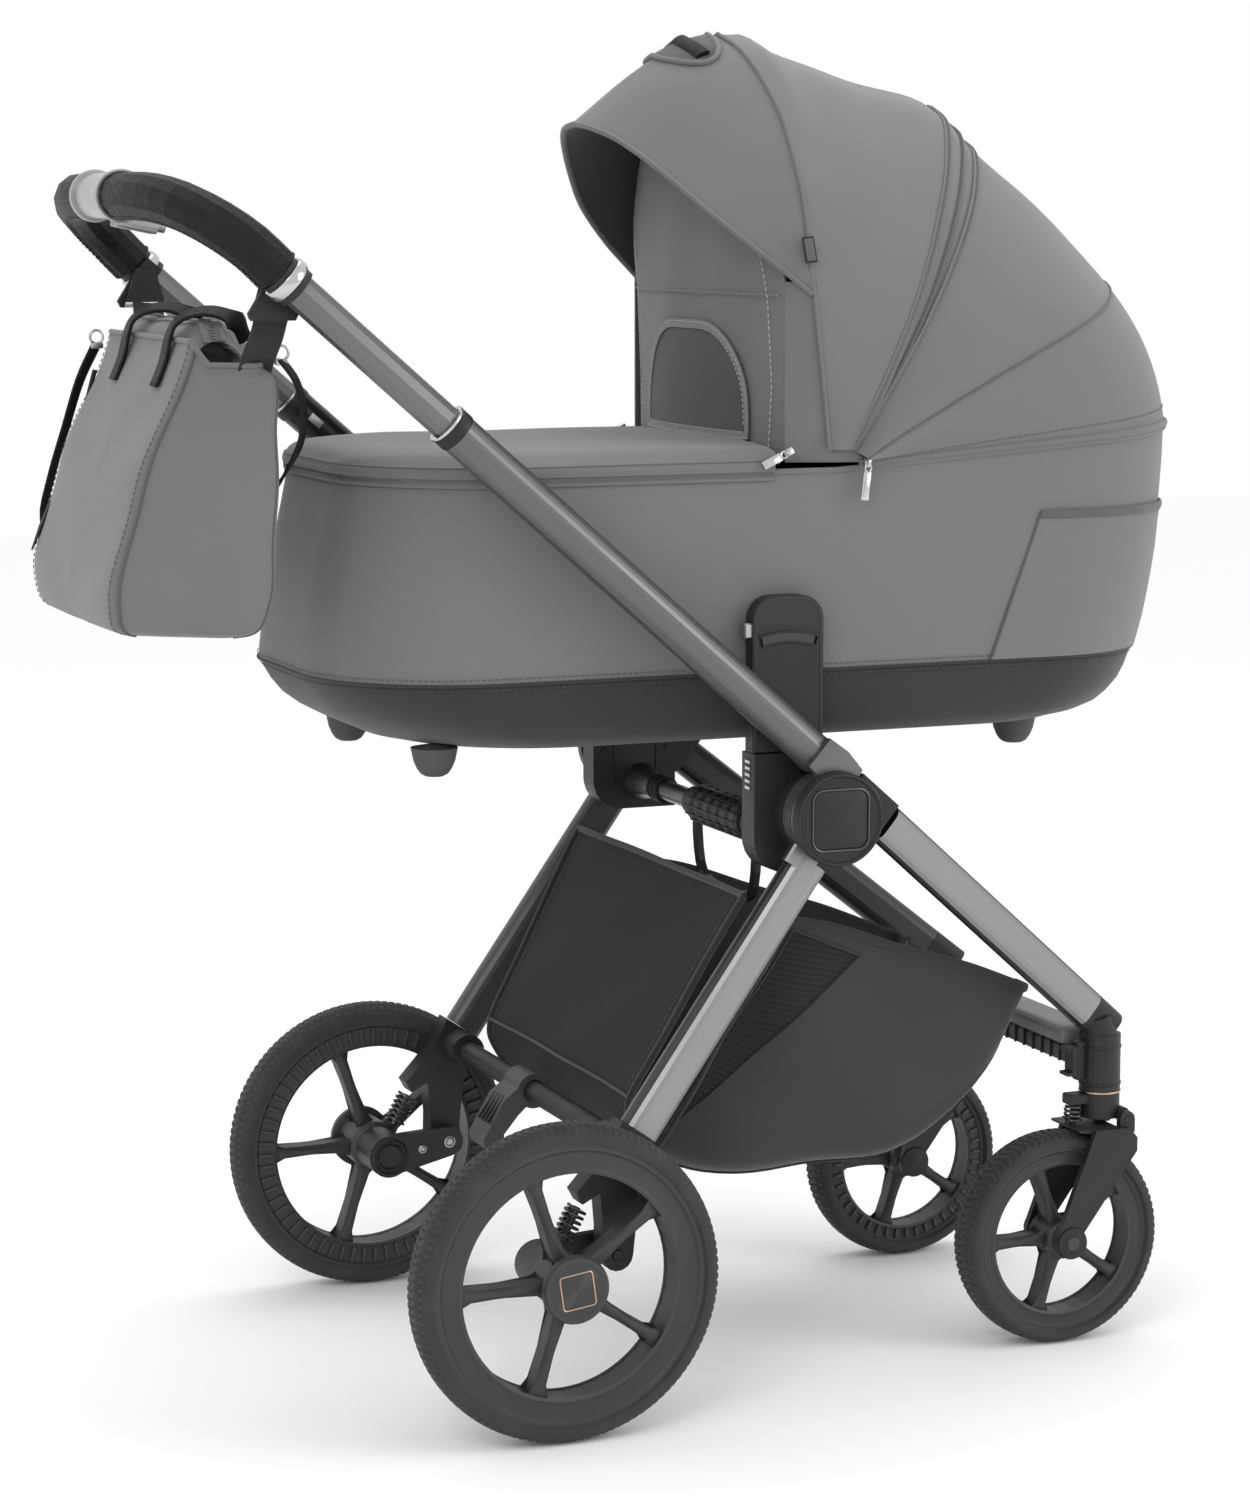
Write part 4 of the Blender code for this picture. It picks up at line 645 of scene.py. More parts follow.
def paint_frame():
    crossbar = moulded("front_crossbar_two_tone", (0.023, 0.023, 0.0235), 0.45, extra=lambda s, base: s.mix(
        s.math("GREATER_THAN", s.axis("Z"), 0.2865), base, (0.20, 0.20, 0.202)))
    finishes = {
        "fold_cross_tube": TUBE_DARK, "rear_axle": PLASTIC, "handle_bar": TUBE_DARK,
        "fold_lock_sleeve": PLASTIC, "fold_pull_handle": PLASTIC, "brake_pedal": PLASTIC_SOFT,
        "front_crossbar": crossbar, "handle_sleeve": SILVER, "telescope_button": SILVER,
        "canopy_front_bow": PLASTIC, "canopy_middle_bow": PLASTIC,
    }
    for tag, side in SIDES:
        finishes[f"rear_leg_{tag}"] = tube_paint(f"rear_leg_paint_{tag}", side, (-0.75, -0.55), 0.236, 1.3)
        finishes[f"front_leg_{tag}"] = tube_paint(f"front_leg_paint_{tag}", side, (-0.75, -0.55), tone=1.2)
        finishes[f"handle_tube_{tag}"] = tube_paint(f"handle_tube_paint_{tag}", side, (0.0, 0.20), tone=0.66)
        for node in ("caster_housing", "hub", "rear_arm", "caster", "fork", "swivel_lock"):
            finishes[f"{node}_{tag}"] = PLASTIC
        for node in ("rear_rim", "front_rim"):
            finishes[f"{node}_{tag}"] = PLASTIC_SOFT
        finishes[f"adapter_{tag}"] = PLASTIC
        finishes[f"grip_{tag}"] = LEATHER
        finishes[f"bag_bracket_{tag}"] = PLASTIC
        finishes[f"adapter_button_{tag}"] = SILVER
    for node, made in finishes.items():
        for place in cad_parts[node].material_slots:
            place.material = made


# ---------------------------------------------------------------- wheels

def tyre(name, centre, inner, outer, half, blocks, how, replaces):
    """A foam tyre with a sawtooth tread cut into its crown and shoulders."""
    steps, across = blocks * 4, 27
    groove = 0.0019
    rows = []
    middle = Vector(centre)
    core = inner + 0.36 * (outer - inner)
    section_reach = 1.72
    for k in range(steps):
        theta = 2 * math.pi * k / steps
        way = Vector((math.cos(theta), 0, math.sin(theta)))
        row = []
        for j in range(across):
            a = lerp(-section_reach, section_reach, j / (across - 1))
            radius = core + (outer - core) * math.copysign(abs(math.cos(a)) ** 0.82, math.cos(a))
            out = half * math.copysign(abs(math.sin(a)) ** 0.90, math.sin(a))
            b = abs(a)
            if b < 1.12:
                saw = (k / 4 + (0.9 * b if b < 0.50 else 0.45 - 0.9 * (b - 0.50)) * 1.6) % 1.0
                deep = groove if saw < 0.34 else 0.0
                if 0.44 < b < 0.56 or b > 1.02:
                    deep = groove
                radius -= deep * (1.0 if b < 0.9 else 0.7)
            row.append(middle + way * radius + Vector((0, out, 0)))
        rows.append(row)
    # Two points under the rim's seat close each row.
    seat = inner - 0.0003
    for row in rows:
        way = row[0] - middle
        way.y = 0
        way.normalize()
        row.append(middle + way * seat + Vector((0, half * 0.55, 0)))
        row.append(middle + way * seat + Vector((0, -half * 0.55, 0)))
    verts, faces, uvs = grid(rows, around=True, ring=True)
    piece(name, verts, faces, TYRE, how, "tyre_rubber", replaces, uvs=uvs, sharp=30, turn=True)


def wheel(tag, side, front):
    kind = "front" if front else "rear"
    how = f"{kind}_wheel_{tag}"
    if front:
        centre = (0.551, side * 0.170, 0.104)
        opening, seat, outer, half, hub_r = 0.0735, 0.0875, 0.104, 0.0215, 0.019
        tread_blocks = 84
        cap_r, face_out, band = 0.0155, 0.0228, 0.014
    else:
        centre = (0.0, side * 0.277, 0.145)
        opening, seat, outer, half, hub_r = 0.1035, 0.1245, 0.145, 0.0225, 0.025
        tread_blocks = 116
        cap_r, face_out, band = 0.031, 0.0300, 0.016
    tyre(f"{kind}_tyre_tread_{tag}", centre, seat, outer, half, tread_blocks, how, f"{kind}_tyre_{tag}")
    middle = Vector(centre)
    out = Vector((0, side, 0))
    made = []
    # Rolled lips on both edges of the rim band, and a shoulder beside the tyre.
    for face in (1, -1):
        made.append(lathe([(opening - 0.0006, band * face * 0.80), (opening - 0.0012, (band + 0.0006) * face),
                           (opening + 0.0016, (band + 0.0018) * face),
                           (opening + 0.0042, (band + 0.0004) * face),
                           (seat - 0.0030, (band + 0.0010) * face), (seat - 0.0006, (band + 0.0034) * face),
                           (seat + 0.0032, (band + 0.0030) * face), (seat + 0.0040, (band - 0.0030) * face)],
                          centre, (0, side, 0), 96))
    # Spokes: a raised rib down each, and webs that widen into the rim and the hub.
    rib_section = ((-1, -0.8), (-0.7, 0.3), (-0.25, 1.0), (0.25, 1.0), (0.7, 0.3), (1, -0.8))
    for i in range(5):
        angle = math.radians(37) + i * 2 * math.pi / 5
        way = Vector((math.cos(angle), 0, math.sin(angle)))
        cross = Vector((-way.z, 0, way.x))
        for face in (1, -1):
            rows = []
            for t, wide, rise in ((0.0, 0.0098, 0.0), (0.10, 0.0066, 0.0022), (0.5, 0.0046, 0.0030),
                                  (0.85, 0.0056, 0.0026), (1.0, 0.0105, 0.0006)):
                r = lerp(hub_r * 0.9, opening + 0.001, t)
                level = band * 0.75 * face
                rows.append([middle + way * r + cross * (w * wide) + out * (level + face * h * rise)
                             for w, h in rib_section])
            verts, faces, _ = grid(rows, around=True)
            made.append((verts, faces))
    parts(f"{kind}_rim_detail_{tag}", made, PLASTIC_SOFT, how, "matte_black_plastic", sharp=35)
    # Radial ribs all round the side that faces the chassis.
    made = []
    ribs = 44 if front else 60
    for i in range(ribs):
        angle = 2 * math.pi * i / ribs
        way = Vector((math.cos(angle), 0, math.sin(angle)))
        made.append(box_part(
            middle + way * ((opening + seat) / 2) - out * (band + 0.0012),
            ((seat - opening) - 0.005, 0.0030, 0.0054), axes_of(way, out), 0.2))
    parts(f"{kind}_rim_ribs_{tag}", made, PLASTIC_SOFT, how, "matte_black_plastic", sharp=35)
    # The hub cap, with a fine ring on a front wheel and a rounded square on a rear one.
    made = [lathe([(0.0, face_out + 0.0030), (cap_r * 0.70, face_out + 0.0030),
                   (cap_r * 0.80, face_out + 0.0024), (cap_r * 0.84, face_out + 0.0028),
                   (cap_r * 0.94, face_out + 0.0022), (cap_r, face_out - 0.0006),
                   (cap_r, face_out - 0.0060), (cap_r * 0.88, face_out - 0.0080),
                   (0.0, face_out - 0.0080)],
                  centre, out, 56)]
    if not front:
        made.append(lathe([(0.0185, -0.0236), (0.0205, -0.0262), (0.0178, -0.0290), (0.0140, -0.0292),
                           (0.0135, -0.0236)], centre, out, 40))
    parts(f"{kind}_hub_cap_{tag}", made, PLASTIC_SOFT, how, "matte_black_plastic")
    if front:
        ring = [middle + out * (face_out + 0.0032) + Vector((0.0098 * math.cos(t), 0, 0.0098 * math.sin(t)))
                for t in (2 * math.pi * i / 40 for i in range(40))]
        bead(f"{kind}_hub_ring_{tag}", ring, 0.0006, PLASTIC, how, "matte_black_plastic", sides=6,
             closed=True)
    else:
        corners = [middle + out * (face_out + 0.0031) + Vector((x, 0, z))
                   for x, z in rounded_square(0.0155, 0.0030, 5, math.radians(8))]
        bead(f"{kind}_hub_square_{tag}", corners, 0.0007, COPPER, how, "silver_metal", sides=6, closed=True)


def coil(name, start, end, radius, turns, wire, how, replaces):
    start, end = Vector(start), Vector(end)
    path = []
    _, u, w = frames([start, end], guide=Vector((0, 1, 0)))[0]
    steps = turns * 20
    for i in range(steps + 1):
        t = i / steps
        a = 2 * math.pi * turns * t
        spoke = u * (radius * math.cos(a)) + w * (radius * math.sin(a))
        path.append(start.lerp(end, 0.04 + 0.92 * t) + spoke)
    rod = sweep([start.lerp(end, 0.02), start.lerp(end, 0.98)], circle(radius * 0.42, 14))
    made = parts(name, [sweep(path, circle(wire, 8)), rod], STEEL, how, "spring_steel", replaces=replaces)
    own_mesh(made)


def springs():
    for tag, side in SIDES:
        y = side * 0.2355
        coil(f"rear_coil_{tag}", (0.0130, y, 0.1710), (0.0285, y, 0.2010), 0.0092, 6, 0.0015,
             "rear_frame", f"rear_spring_{tag}")
        y = side * 0.170
        coil(f"front_coil_{tag}", (0.5685, y, 0.2129), (0.5685, y, 0.2316), 0.0080, 4, 0.0014,
             f"caster_{tag}", f"front_spring_{tag}")


# ---------------------------------------------------------------- fittings on the frame

def rounded_square(reach, fillet, per_corner=6, turn=0.0):
    points = []
    for i in range(4):
        base = math.radians(90 * i) + turn
        mx = (reach - fillet) * math.sqrt(2) * math.cos(base + math.pi / 4)
        mz = (reach - fillet) * math.sqrt(2) * math.sin(base + math.pi / 4)
        for k in range(per_corner):
            a = base + math.pi / 2 * k / (per_corner - 1)
            points.append((mx + fillet * math.cos(a), mz + fillet * math.sin(a)))
    return points


def hub_fittings():
    for tag, side in SIDES:
        out = Vector((0, side, 0))
        face = Vector((HUB[0], side * 0.2700, HUB[1]))
        made = [lathe([(0.0, 0.0006), (0.0385, 0.0006), (0.0398, 0.0022), (0.0418, 0.0020), (0.0430, -0.0004),
                       (0.0430, -0.0100), (0.0, -0.0100)], face, out, 72)]
        parts(f"hub_face_{tag}", made, PLASTIC, "chassis", "matte_black_plastic")
        square = [face + out * 0.0012 + Vector((x, 0, z)) for x, z in rounded_square(0.0278, 0.0105)]
        pad = [face + out * 0.0004 + Vector((x, 0, z)) for x, z in rounded_square(0.0268, 0.0100)]
        bead(f"hub_outline_{tag}", square, 0.0010, STEEL, "chassis", "matte_black_plastic", closed=True)
        rows = [pad, [face + out * 0.0016 + (p - face - out * 0.0004) * 0.93 for p in pad]]
        verts, faces, _ = grid(rows, around=True, caps=(False, True))
        parts(f"hub_square_{tag}", [(verts, faces)], PLASTIC, "chassis", "matte_black_plastic")
        # The steel ratchet strip on each seat socket, and the ribs and screws of its inner face.
        made = [box_part((0.2104, side * 0.1985, z), (0.0016, 0.0100, 0.0030), None, 0.2)
                for z in (0.566, 0.572, 0.578, 0.584, 0.590)]
        parts(f"socket_ratchet_{tag}", made, CHROME, "chassis", "silver_metal")
        inner = side * 0.1842
        made = [box_part((0.2560, inner, 0.5610), (0.0880, 0.0016, 0.0012), None, 0.2),
                box_part((0.2560, inner, 0.5300), (0.0880, 0.0016, 0.0010), None, 0.2),
                box_part((0.2330, inner, 0.5450), (0.0012, 0.0016, 0.0700), None, 0.2),
                box_part((0.2790, inner, 0.5450), (0.0012, 0.0016, 0.0700), None, 0.2)]
        for x, z in ((0.2220, 0.5480), (0.2900, 0.5480), (0.2560, 0.5020)):
            made.append(lathe([(0.0, 0.0014), (0.0022, 0.0014), (0.0030, 0.0), (0.0030, -0.002),
                               (0.0, -0.002)],
                              (x, side * 0.1845, z), (0, -side, 0), 16))
        parts(f"socket_ribs_{tag}", made, PLASTIC, "chassis", "matte_black_plastic")


def tube_fittings():
    for tag, side in SIDES:
        y = side * TUBE_Y
        centre = handle_place(0.470, 0.0, y)
        along = handle_place(1.0) - handle_place(0.0)
        collar = [lathe([(0.0158, -0.0020), (0.0186, -0.0020), (0.0190, 0.0), (0.0190, 0.0080),
                         (0.0182, 0.0100), (0.0158, 0.0100)], centre, along, 48)]
        parts(f"telescope_collar_{tag}", collar, PLASTIC, "handle", "matte_black_plastic")
        ring = [lathe([(0.0157, -0.0010), (0.0194, -0.0010), (0.0197, 0.0), (0.0194, 0.0014),
                       (0.0157, 0.0014)],
                      handle_place(0.4815, 0.0, y), along, 48)]
        parts(f"telescope_ring_{tag}", ring, CHROME, "handle", "silver_metal")
        trim = [lathe([(0.0157, 0.0), (0.0205, 0.0), (0.0214, 0.0020), (0.0214, 0.0085), (0.0205, 0.0105),
                       (0.0157, 0.0105)], handle_place(0.6650, 0.0, y), along, 48)]
        parts(f"grip_end_{tag}", trim, CHROME, "handle_upper", "silver_metal")
        hole = [lathe([(0.0, 0.0008), (0.0030, 0.0008), (0.0040, 0.0016), (0.0048, 0.0), (0.0048, -0.002),
                       (0.0, -0.002)],
                      (0.0350 + 0.0135, y, 0.7720 - 0.0030), (-0.6574, 0, -0.7536), 20)]
        parts(f"tube_snap_{tag}", hole, PLASTIC, "handle", "matte_black_plastic")
        # The lock window on the inner side of the outer tube.
        place = handle_place(0.448, 0.0, y - side * 0.0176)
        made = [box_part(place, (0.0150, 0.0080, 0.0016), axes_of(along, Vector((0, -side, 0))), 0.3)]
        parts(f"tube_lock_{tag}", made, SILVER, "handle", "silver_metal")


def adapter_fittings():
    for tag, side in SIDES:
        out = side * 0.2146
        made = []
        outline = [(0.2105, 0.6040), (0.2755, 0.6040)] + arc((0.2555, 0.7195), 0.0200, 0, 90, 8) \
            + arc((0.2305, 0.7195), 0.0200, 90, 180, 8)
        made.append(sweep([Vector((x, out, z)) for x, z in outline], circle(0.0008, 6), True))
        slot_line = arc((0.2430, 0.6120), 0.0925, 106, 74, 12)
        made.append(sweep([Vector((x, out - side * 0.0002, z)) for x, z in slot_line],
                          flat(0.0100, 0.0010), guide=Vector((0, side, 0))))
        parts(f"adapter_trim_{tag}", made, PLASTIC_SOFT, "carrycot", "matte_black_plastic")
        lip = arc((0.2430, 0.6120), 0.0975, 107, 73, 12)
        low = arc((0.2430, 0.6120), 0.0875, 107, 73, 12)
        made = [sweep([Vector((x, out + side * 0.0004, z)) for x, z in line], circle(0.0011, 8))
                for line in (lip, low)]
        parts(f"adapter_slot_rim_{tag}", made, PLASTIC, "carrycot", "matte_black_plastic")


def caster_fittings():
    for tag, side in SIDES:
        y = side * 0.170
        made = [lathe([(0.0198, -0.0008), (0.0205, -0.0008), (0.0208, 0.0), (0.0205, 0.0008),
                       (0.0198, 0.0008)],
                      (0.597, y, 0.2440), UP, 56)]
        parts(f"caster_copper_ring_{tag}", made, COPPER, "chassis", "silver_metal")
        made = [lathe([(0.0197, 0.0), (0.0206, 0.0008), (0.0206, 0.0028), (0.0197, 0.0036)], (0.597, y, z),
                      UP, 56)
                for z in (0.2500, 0.2860)]
        parts(f"caster_housing_ribs_{tag}", made, PLASTIC, "chassis", "matte_black_plastic")
        out = Vector((0, side, 0))
        made = []
        for turn in (1, -1):
            made.append(lathe([(0.0, 0.0030), (0.0095, 0.0030), (0.0120, 0.0022), (0.0150, 0.0022),
                               (0.0158, 0.0004), (0.0158, -0.0010), (0.0, -0.0010)],
                              (0.551, y + turn * 0.0345, 0.104), (0, turn, 0), 44))
        parts(f"fork_caps_{tag}", made, PLASTIC, f"fork_{tag}", "matte_black_plastic")
        made = [lathe([(0.0, 0.0038), (0.0062, 0.0038), (0.0070, 0.0028), (0.0070, 0.0010), (0.0, 0.0010)],
                      (0.551, y + side * 0.0345, 0.104), out, 28)]
        parts(f"fork_cap_button_{tag}", made, PLASTIC_SOFT, f"fork_{tag}", "matte_black_plastic")


def rear_fittings():
    for tag, side in SIDES:
        made = []
        for x, z, r in ((0.063, 0.155, 0.0060), (0.034, 0.1500, 0.0042)):
            made.append(lathe([(0.0, 0.0018), (r * 0.5, 0.0018), (r * 0.62, 0.0006), (r * 0.72, 0.0022),
                               (r, 0.0016), (r, -0.003), (0.0, -0.003)],
                              (x, side * 0.2070, z), (0, -side, 0), 24))
        parts(f"rear_arm_bolts_{tag}", made, SILVER, f"rear_arm_{tag}", "silver_metal")
        made = []
        for r in (0.0125, 0.0175):
            made.append(lathe([(r - 0.0014, 0.0), (r, 0.0020), (r + 0.0014, 0.0)], (0, side * 0.2070, 0.145),
                              (0, -side, 0), 36))
        for i in range(8):
            a = 2 * math.pi * i / 8
            way = Vector((math.cos(a), 0, math.sin(a)))
            made.append(box_part(Vector((0, side * 0.2062, 0.145)) + way * 0.0150, (0.0056, 0.0012, 0.0020),
                                 axes_of(way, Vector((0, -side, 0))), 0.2))
        parts(f"rear_hub_fins_{tag}", made, PLASTIC, f"rear_arm_{tag}", "matte_black_plastic")
    made = []
    for y in (0.012, 0.020, 0.028, 0.036):
        made.append(box_part((0.0415, y, 0.2335), (0.0300, 0.0030, 0.0030),
                             axes_of(Vector((0.60, 0, 0.80)), Vector((-0.8, 0, 0.6))), 0.3))
    parts("brake_pedal_ridges", made, PLASTIC, "brake", "matte_black_plastic")


def front_fittings():
    made = []
    for i in range(15):
        y = lerp(-0.128, 0.128, i / 14)
        made.append(box_part((0.5755, y, 0.2750), (0.0022, 0.0026, 0.0190), None, 0.25))
        made.append(box_part((0.6045, y, 0.2750), (0.0022, 0.0026, 0.0190), None, 0.25))
    parts("front_crossbar_ribs", made, PLASTIC, "chassis", "matte_black_plastic")
    for tag, side in SIDES:
        # The clip that carries the basket's corner, on the inner face of the front leg.
        centre = Vector((0.4560, side * 0.2000, 0.4240))
        way = Vector((0.2495, 0, -0.2066)).normalized()
        turn = axes_of(way, Vector((0, -side, 0)))
        made = [box_part(centre, (0.050, 0.026, 0.006), turn, 0.35),
                box_part(centre + way * 0.020 - Vector((0, side * 0.004, 0.004)), (0.014, 0.020, 0.010),
                         turn, 0.3)]
        parts(f"basket_clip_{tag}", made, PLASTIC, "chassis", "matte_black_plastic")
        made = [lathe([(0.0, 0.0006), (0.0012, 0.0006), (0.0016, 0.0014), (0.0032, 0.0010), (0.0036, -0.001),
                       (0.0, -0.001)],
                      centre + way * shift - Vector((0, side * 0.0030, 0)), (0, -side, 0), 18)
                for shift in (-0.015, 0.006)]
        parts(f"basket_clip_screws_{tag}", made, SILVER, "chassis", "silver_metal")


def grip_line():
    """Half of the bar's centreline under the grips, from the tube's end to the middle."""
    tube_end = handle_place(0.682, 0.0, TUBE_Y)
    bend = ((-0.2640, 0.2330, 1.0585), (-0.2870, 0.2160, 1.0770), (-0.3070, 0.1830, 1.0915),
            (-0.3190, 0.1350, 1.0985), (-0.3245, 0.0900, 1.1000), (-0.325, 0.0520, 1.100),
            (-0.325, 0.0, 1.100))
    return smooth_path([tube_end, *bend], 6)


def grips():
    """The stitched seam along the underside of each leather grip, and its rolled ends."""
    grip_up = Vector((0.35, 0, 0.94))
    seam_depth = 0.0209
    line = [p for p in grip_line() if p.y > 0.051]
    for tag, side in SIDES:
        path = line if side > 0 else mirrored(line)
        seam = []
        for p, (_, _, up) in zip(path, frames(path, guide=grip_up)):
            below = -up if up.z > 0 else up
            seam.append(p + below * seam_depth)
        bead(f"grip_seam_{tag}", seam, 0.0008, LEATHER, "handle_upper", "black_leatherette", sides=6)
        made = []
        for shift in (-0.0026, 0.0026):
            row = [p + across * shift for p, (_, across, _) in zip(seam, frames(path, guide=grip_up))]
            marks = resample(row, 0.0062)
            for a, b in zip(marks, marks[1:]):
                made.append(box_part(a.lerp(b, 0.5), (0.0038, 0.0009, 0.0009), axes_of(b - a, UP), 0.3))
        parts(f"grip_stitches_{tag}", made, THREAD_DARK, "handle_upper", "black_leatherette")
        ends = []
        for i in (0, len(path) - 1):
            way = (path[1] - path[0]) if i == 0 else (path[-1] - path[-2])
            ends.append(lathe([(0.0163, -0.0014), (0.0206, -0.0014), (0.0216, 0.0), (0.0206, 0.0014),
                               (0.0163, 0.0014)],
                              path[i], way, 40))
        parts(f"grip_rolled_ends_{tag}", ends, LEATHER, "handle_upper", "black_leatherette")
    # Raised rings at the sleeve's ends.
    made = []
    for y in (-0.0455, 0.0455):
        made.append(lathe([(0.0199, -0.0028), (0.0230, -0.0028), (0.0236, -0.0014), (0.0236, 0.0014),
                           (0.0230, 0.0028), (0.0199, 0.0028)],
                          (-0.325, y, 1.100), (0, 1, 0), 56))
    parts("handle_sleeve_rings", made, SILVER, "handle_upper", "silver_metal")


def folding_fittings():
    x, z = 0.263, 0.515
    made = []
    for side in (-1, 1):
        for k in range(3):
            made.append(lathe([(0.0112, 0.0), (0.0135, 0.0010), (0.0135, 0.0040), (0.0112, 0.0050)],
                              (x, side * (0.118 + 0.009 * k), z), (0, 1, 0), 32))
    parts("cross_tube_rings", made, PLASTIC, "chassis", "matte_black_plastic")
    made = []
    for i in range(14):
        a = 2 * math.pi * i / 14
        way = Vector((math.cos(a), 0, math.sin(a)))
        made.append(box_part(Vector((x, -0.029, z)) + way * 0.0185, (0.118, 0.0016, 0.0020),
                             axes_of(Vector((0, 1, 0)), way), 0.25))
    parts("lock_sleeve_flutes", made, PLASTIC, "lock_sleeve", "matte_black_plastic")


# ---------------------------------------------------------------- carrycot

COT_CORNER = 0.140
COT_MIDDLE = 0.27
COT_RIM_Z = 0.853
SEAM_Z = 0.671
PIVOT = (0.310, 0.862)
BOW_FRONT_ANGLE = math.radians(96.7)
BOW_MIDDLE_ANGLE = math.radians(57.5)


def cot_profile(z):
    foot = table([(0.607, -0.080), (0.613, -0.102), (0.620, -0.118), (0.630, -0.137), (0.640, -0.150),
                  (0.656, -0.163), (0.672, -0.170), (0.720, -0.1645), (0.765, -0.156), (0.853, -0.138)], z)
    head = table([(0.607, 0.602), (0.613, 0.622), (0.620, 0.637), (0.632, 0.650), (0.645, 0.659),
                  (0.672, 0.668), (0.700, 0.675), (0.765, 0.687), (0.828, 0.696), (0.885, 0.700)], z)
    half = table([(0.607, 0.168), (0.613, 0.178), (0.620, 0.184), (0.632, 0.1895), (0.645, 0.192),
                  (0.672, 0.195)], z)
    return foot, head, half


def cot_ring(z, inset=0.0, count=15, side_steps=15):
    """The cot's outline at a level: four rounded corners, counted anticlockwise from the head end."""
    foot, head, half = cot_profile(z)
    foot, head, half = foot + inset, head - inset, half - inset
    corner = max(0.012, COT_CORNER - inset)
    points = []
    for x, y, turn in ((head, half, 0), (foot, half, 90), (foot, -half, 180), (head, -half, 270)):
        centre = (x - math.copysign(corner, x - COT_MIDDLE), y - math.copysign(corner, y))
        points += arc(centre, corner, turn, turn + 90, count)
        near, far = head - corner, foot + corner
        if turn == 0:
            points += [(lerp(near, far, k / side_steps), half) for k in range(1, side_steps)]
        if turn == 180:
            points += [(lerp(far, near, k / side_steps), -half) for k in range(1, side_steps)]
    return [Vector((x, y, z)) for x, y in points]


def rim_rise(x):
    t = max(0.0, min(1.0, (x - 0.30) / 0.40))
    return 0.029 * t


def wall_ring(share, inset=0.0):
    """The wall's outline at a share of its height, from the band's seam to the rim."""
    z = lerp(SEAM_Z, COT_RIM_Z, share)
    ring = cot_ring(z, inset)
    return [Vector((p.x, p.y, p.z + rim_rise(p.x) * share)) for p in ring]


def puffed(ring, amount):
    """A ring moved outwards by an amount that depends on the point."""
    out = []
    count = len(ring)
    for i, p in enumerate(ring):
        way = ring[(i + 1) % count] - ring[i - 1]
        normal = Vector((way.y, -way.x, 0)).normalized()
        if normal.dot(p - Vector((COT_MIDDLE, 0.0, p.z))) < 0:
            normal = -normal
        out.append(p + normal * amount(p))
    return out


def carrycot():
    def slack(share):
        belly = math.sin(math.pi * share)
        return lambda p: belly * (0.0012 + 0.0016 * soft(p, 17.0) + 0.0007 * soft(p, 41.0, 2.0))

    rows = [puffed(wall_ring(k / 16), slack(k / 16)) for k in range(17)]
    rows += [puffed(wall_ring(1.0, 0.0045), lambda p: 0.0)]
    rows += [wall_ring(0.0, 0.0045)]
    loft("cot_wall", rows, FABRIC, "carrycot", "grey_fabric", around=True, ring=True,
         replaces="carrycot_tub", turn=True)

    heights = (0.6072, 0.6085, 0.613, 0.620, 0.629, 0.640, 0.652, 0.663, SEAM_Z)
    rows = [cot_ring(0.607, 0.030)] + [cot_ring(z, 0.0008 if z > 0.61 else 0.004) for z in heights]
    rows[1] = [Vector((p.x, p.y, 0.6070)) for p in rows[1]]
    rows.append(cot_ring(SEAM_Z, 0.012))
    loft("cot_band", rows, BAND, "carrycot", "charcoal_fabric", around=True, caps=(True, True), turn=True)

    rows = [wall_ring(1.0, 0.0040), wall_ring(1.0, 0.0100)]
    rows += [wall_ring(k / 8, 0.0125 + 0.001 * math.sin(k * 1.9)) for k in range(7, -1, -1)]
    rows += [cot_ring(0.645, 0.0150), cot_ring(0.6290, 0.024)]
    loft("cot_lining", rows, LINING, "carrycot", "dark_lining", around=True, caps=(False, True))

    rim = puffed(wall_ring(1.0), lambda p: 0.0004)
    bead("cot_rim_binding", rim, 0.0026, FABRIC_TRIM, "carrycot", "grey_fabric", closed=True)
    seam = puffed(cot_ring(SEAM_Z), lambda p: 0.0008)
    bead("cot_band_piping", seam, 0.0012, DARK_TRIM, "carrycot", "charcoal_fabric", closed=True)
    lines = []
    for z, lift in ((SEAM_Z + 0.0048, 0.0012), (SEAM_Z - 0.0048, 0.0002)):
        lines += stitches(resample(puffed(cot_ring(z), lambda p: lift), 0.010, True), UP, 0.0034, 0.0024,
                          0.00035, True)
    parts("cot_band_stitches", lines, THREAD_DARK, "carrycot", "charcoal_fabric")

    # Rubber feet.
    made = []
    for x in (-0.066, 0.521):
        for side in (-1, 1):
            made.append(lathe([(0.0, 0.0), (0.0085, 0.0), (0.0125, 0.0022), (0.0160, 0.0070),
                               (0.0190, 0.0140),
                               (0.0215, 0.0260), (0.0, 0.0300)], (x, side * 0.125, 0.5822), UP, 36))
    parts("cot_feet", made, RUBBER_FEET, "carrycot", "tyre_rubber")

    head_pocket()
    zip_round_cot()
    apron()
    mattress()


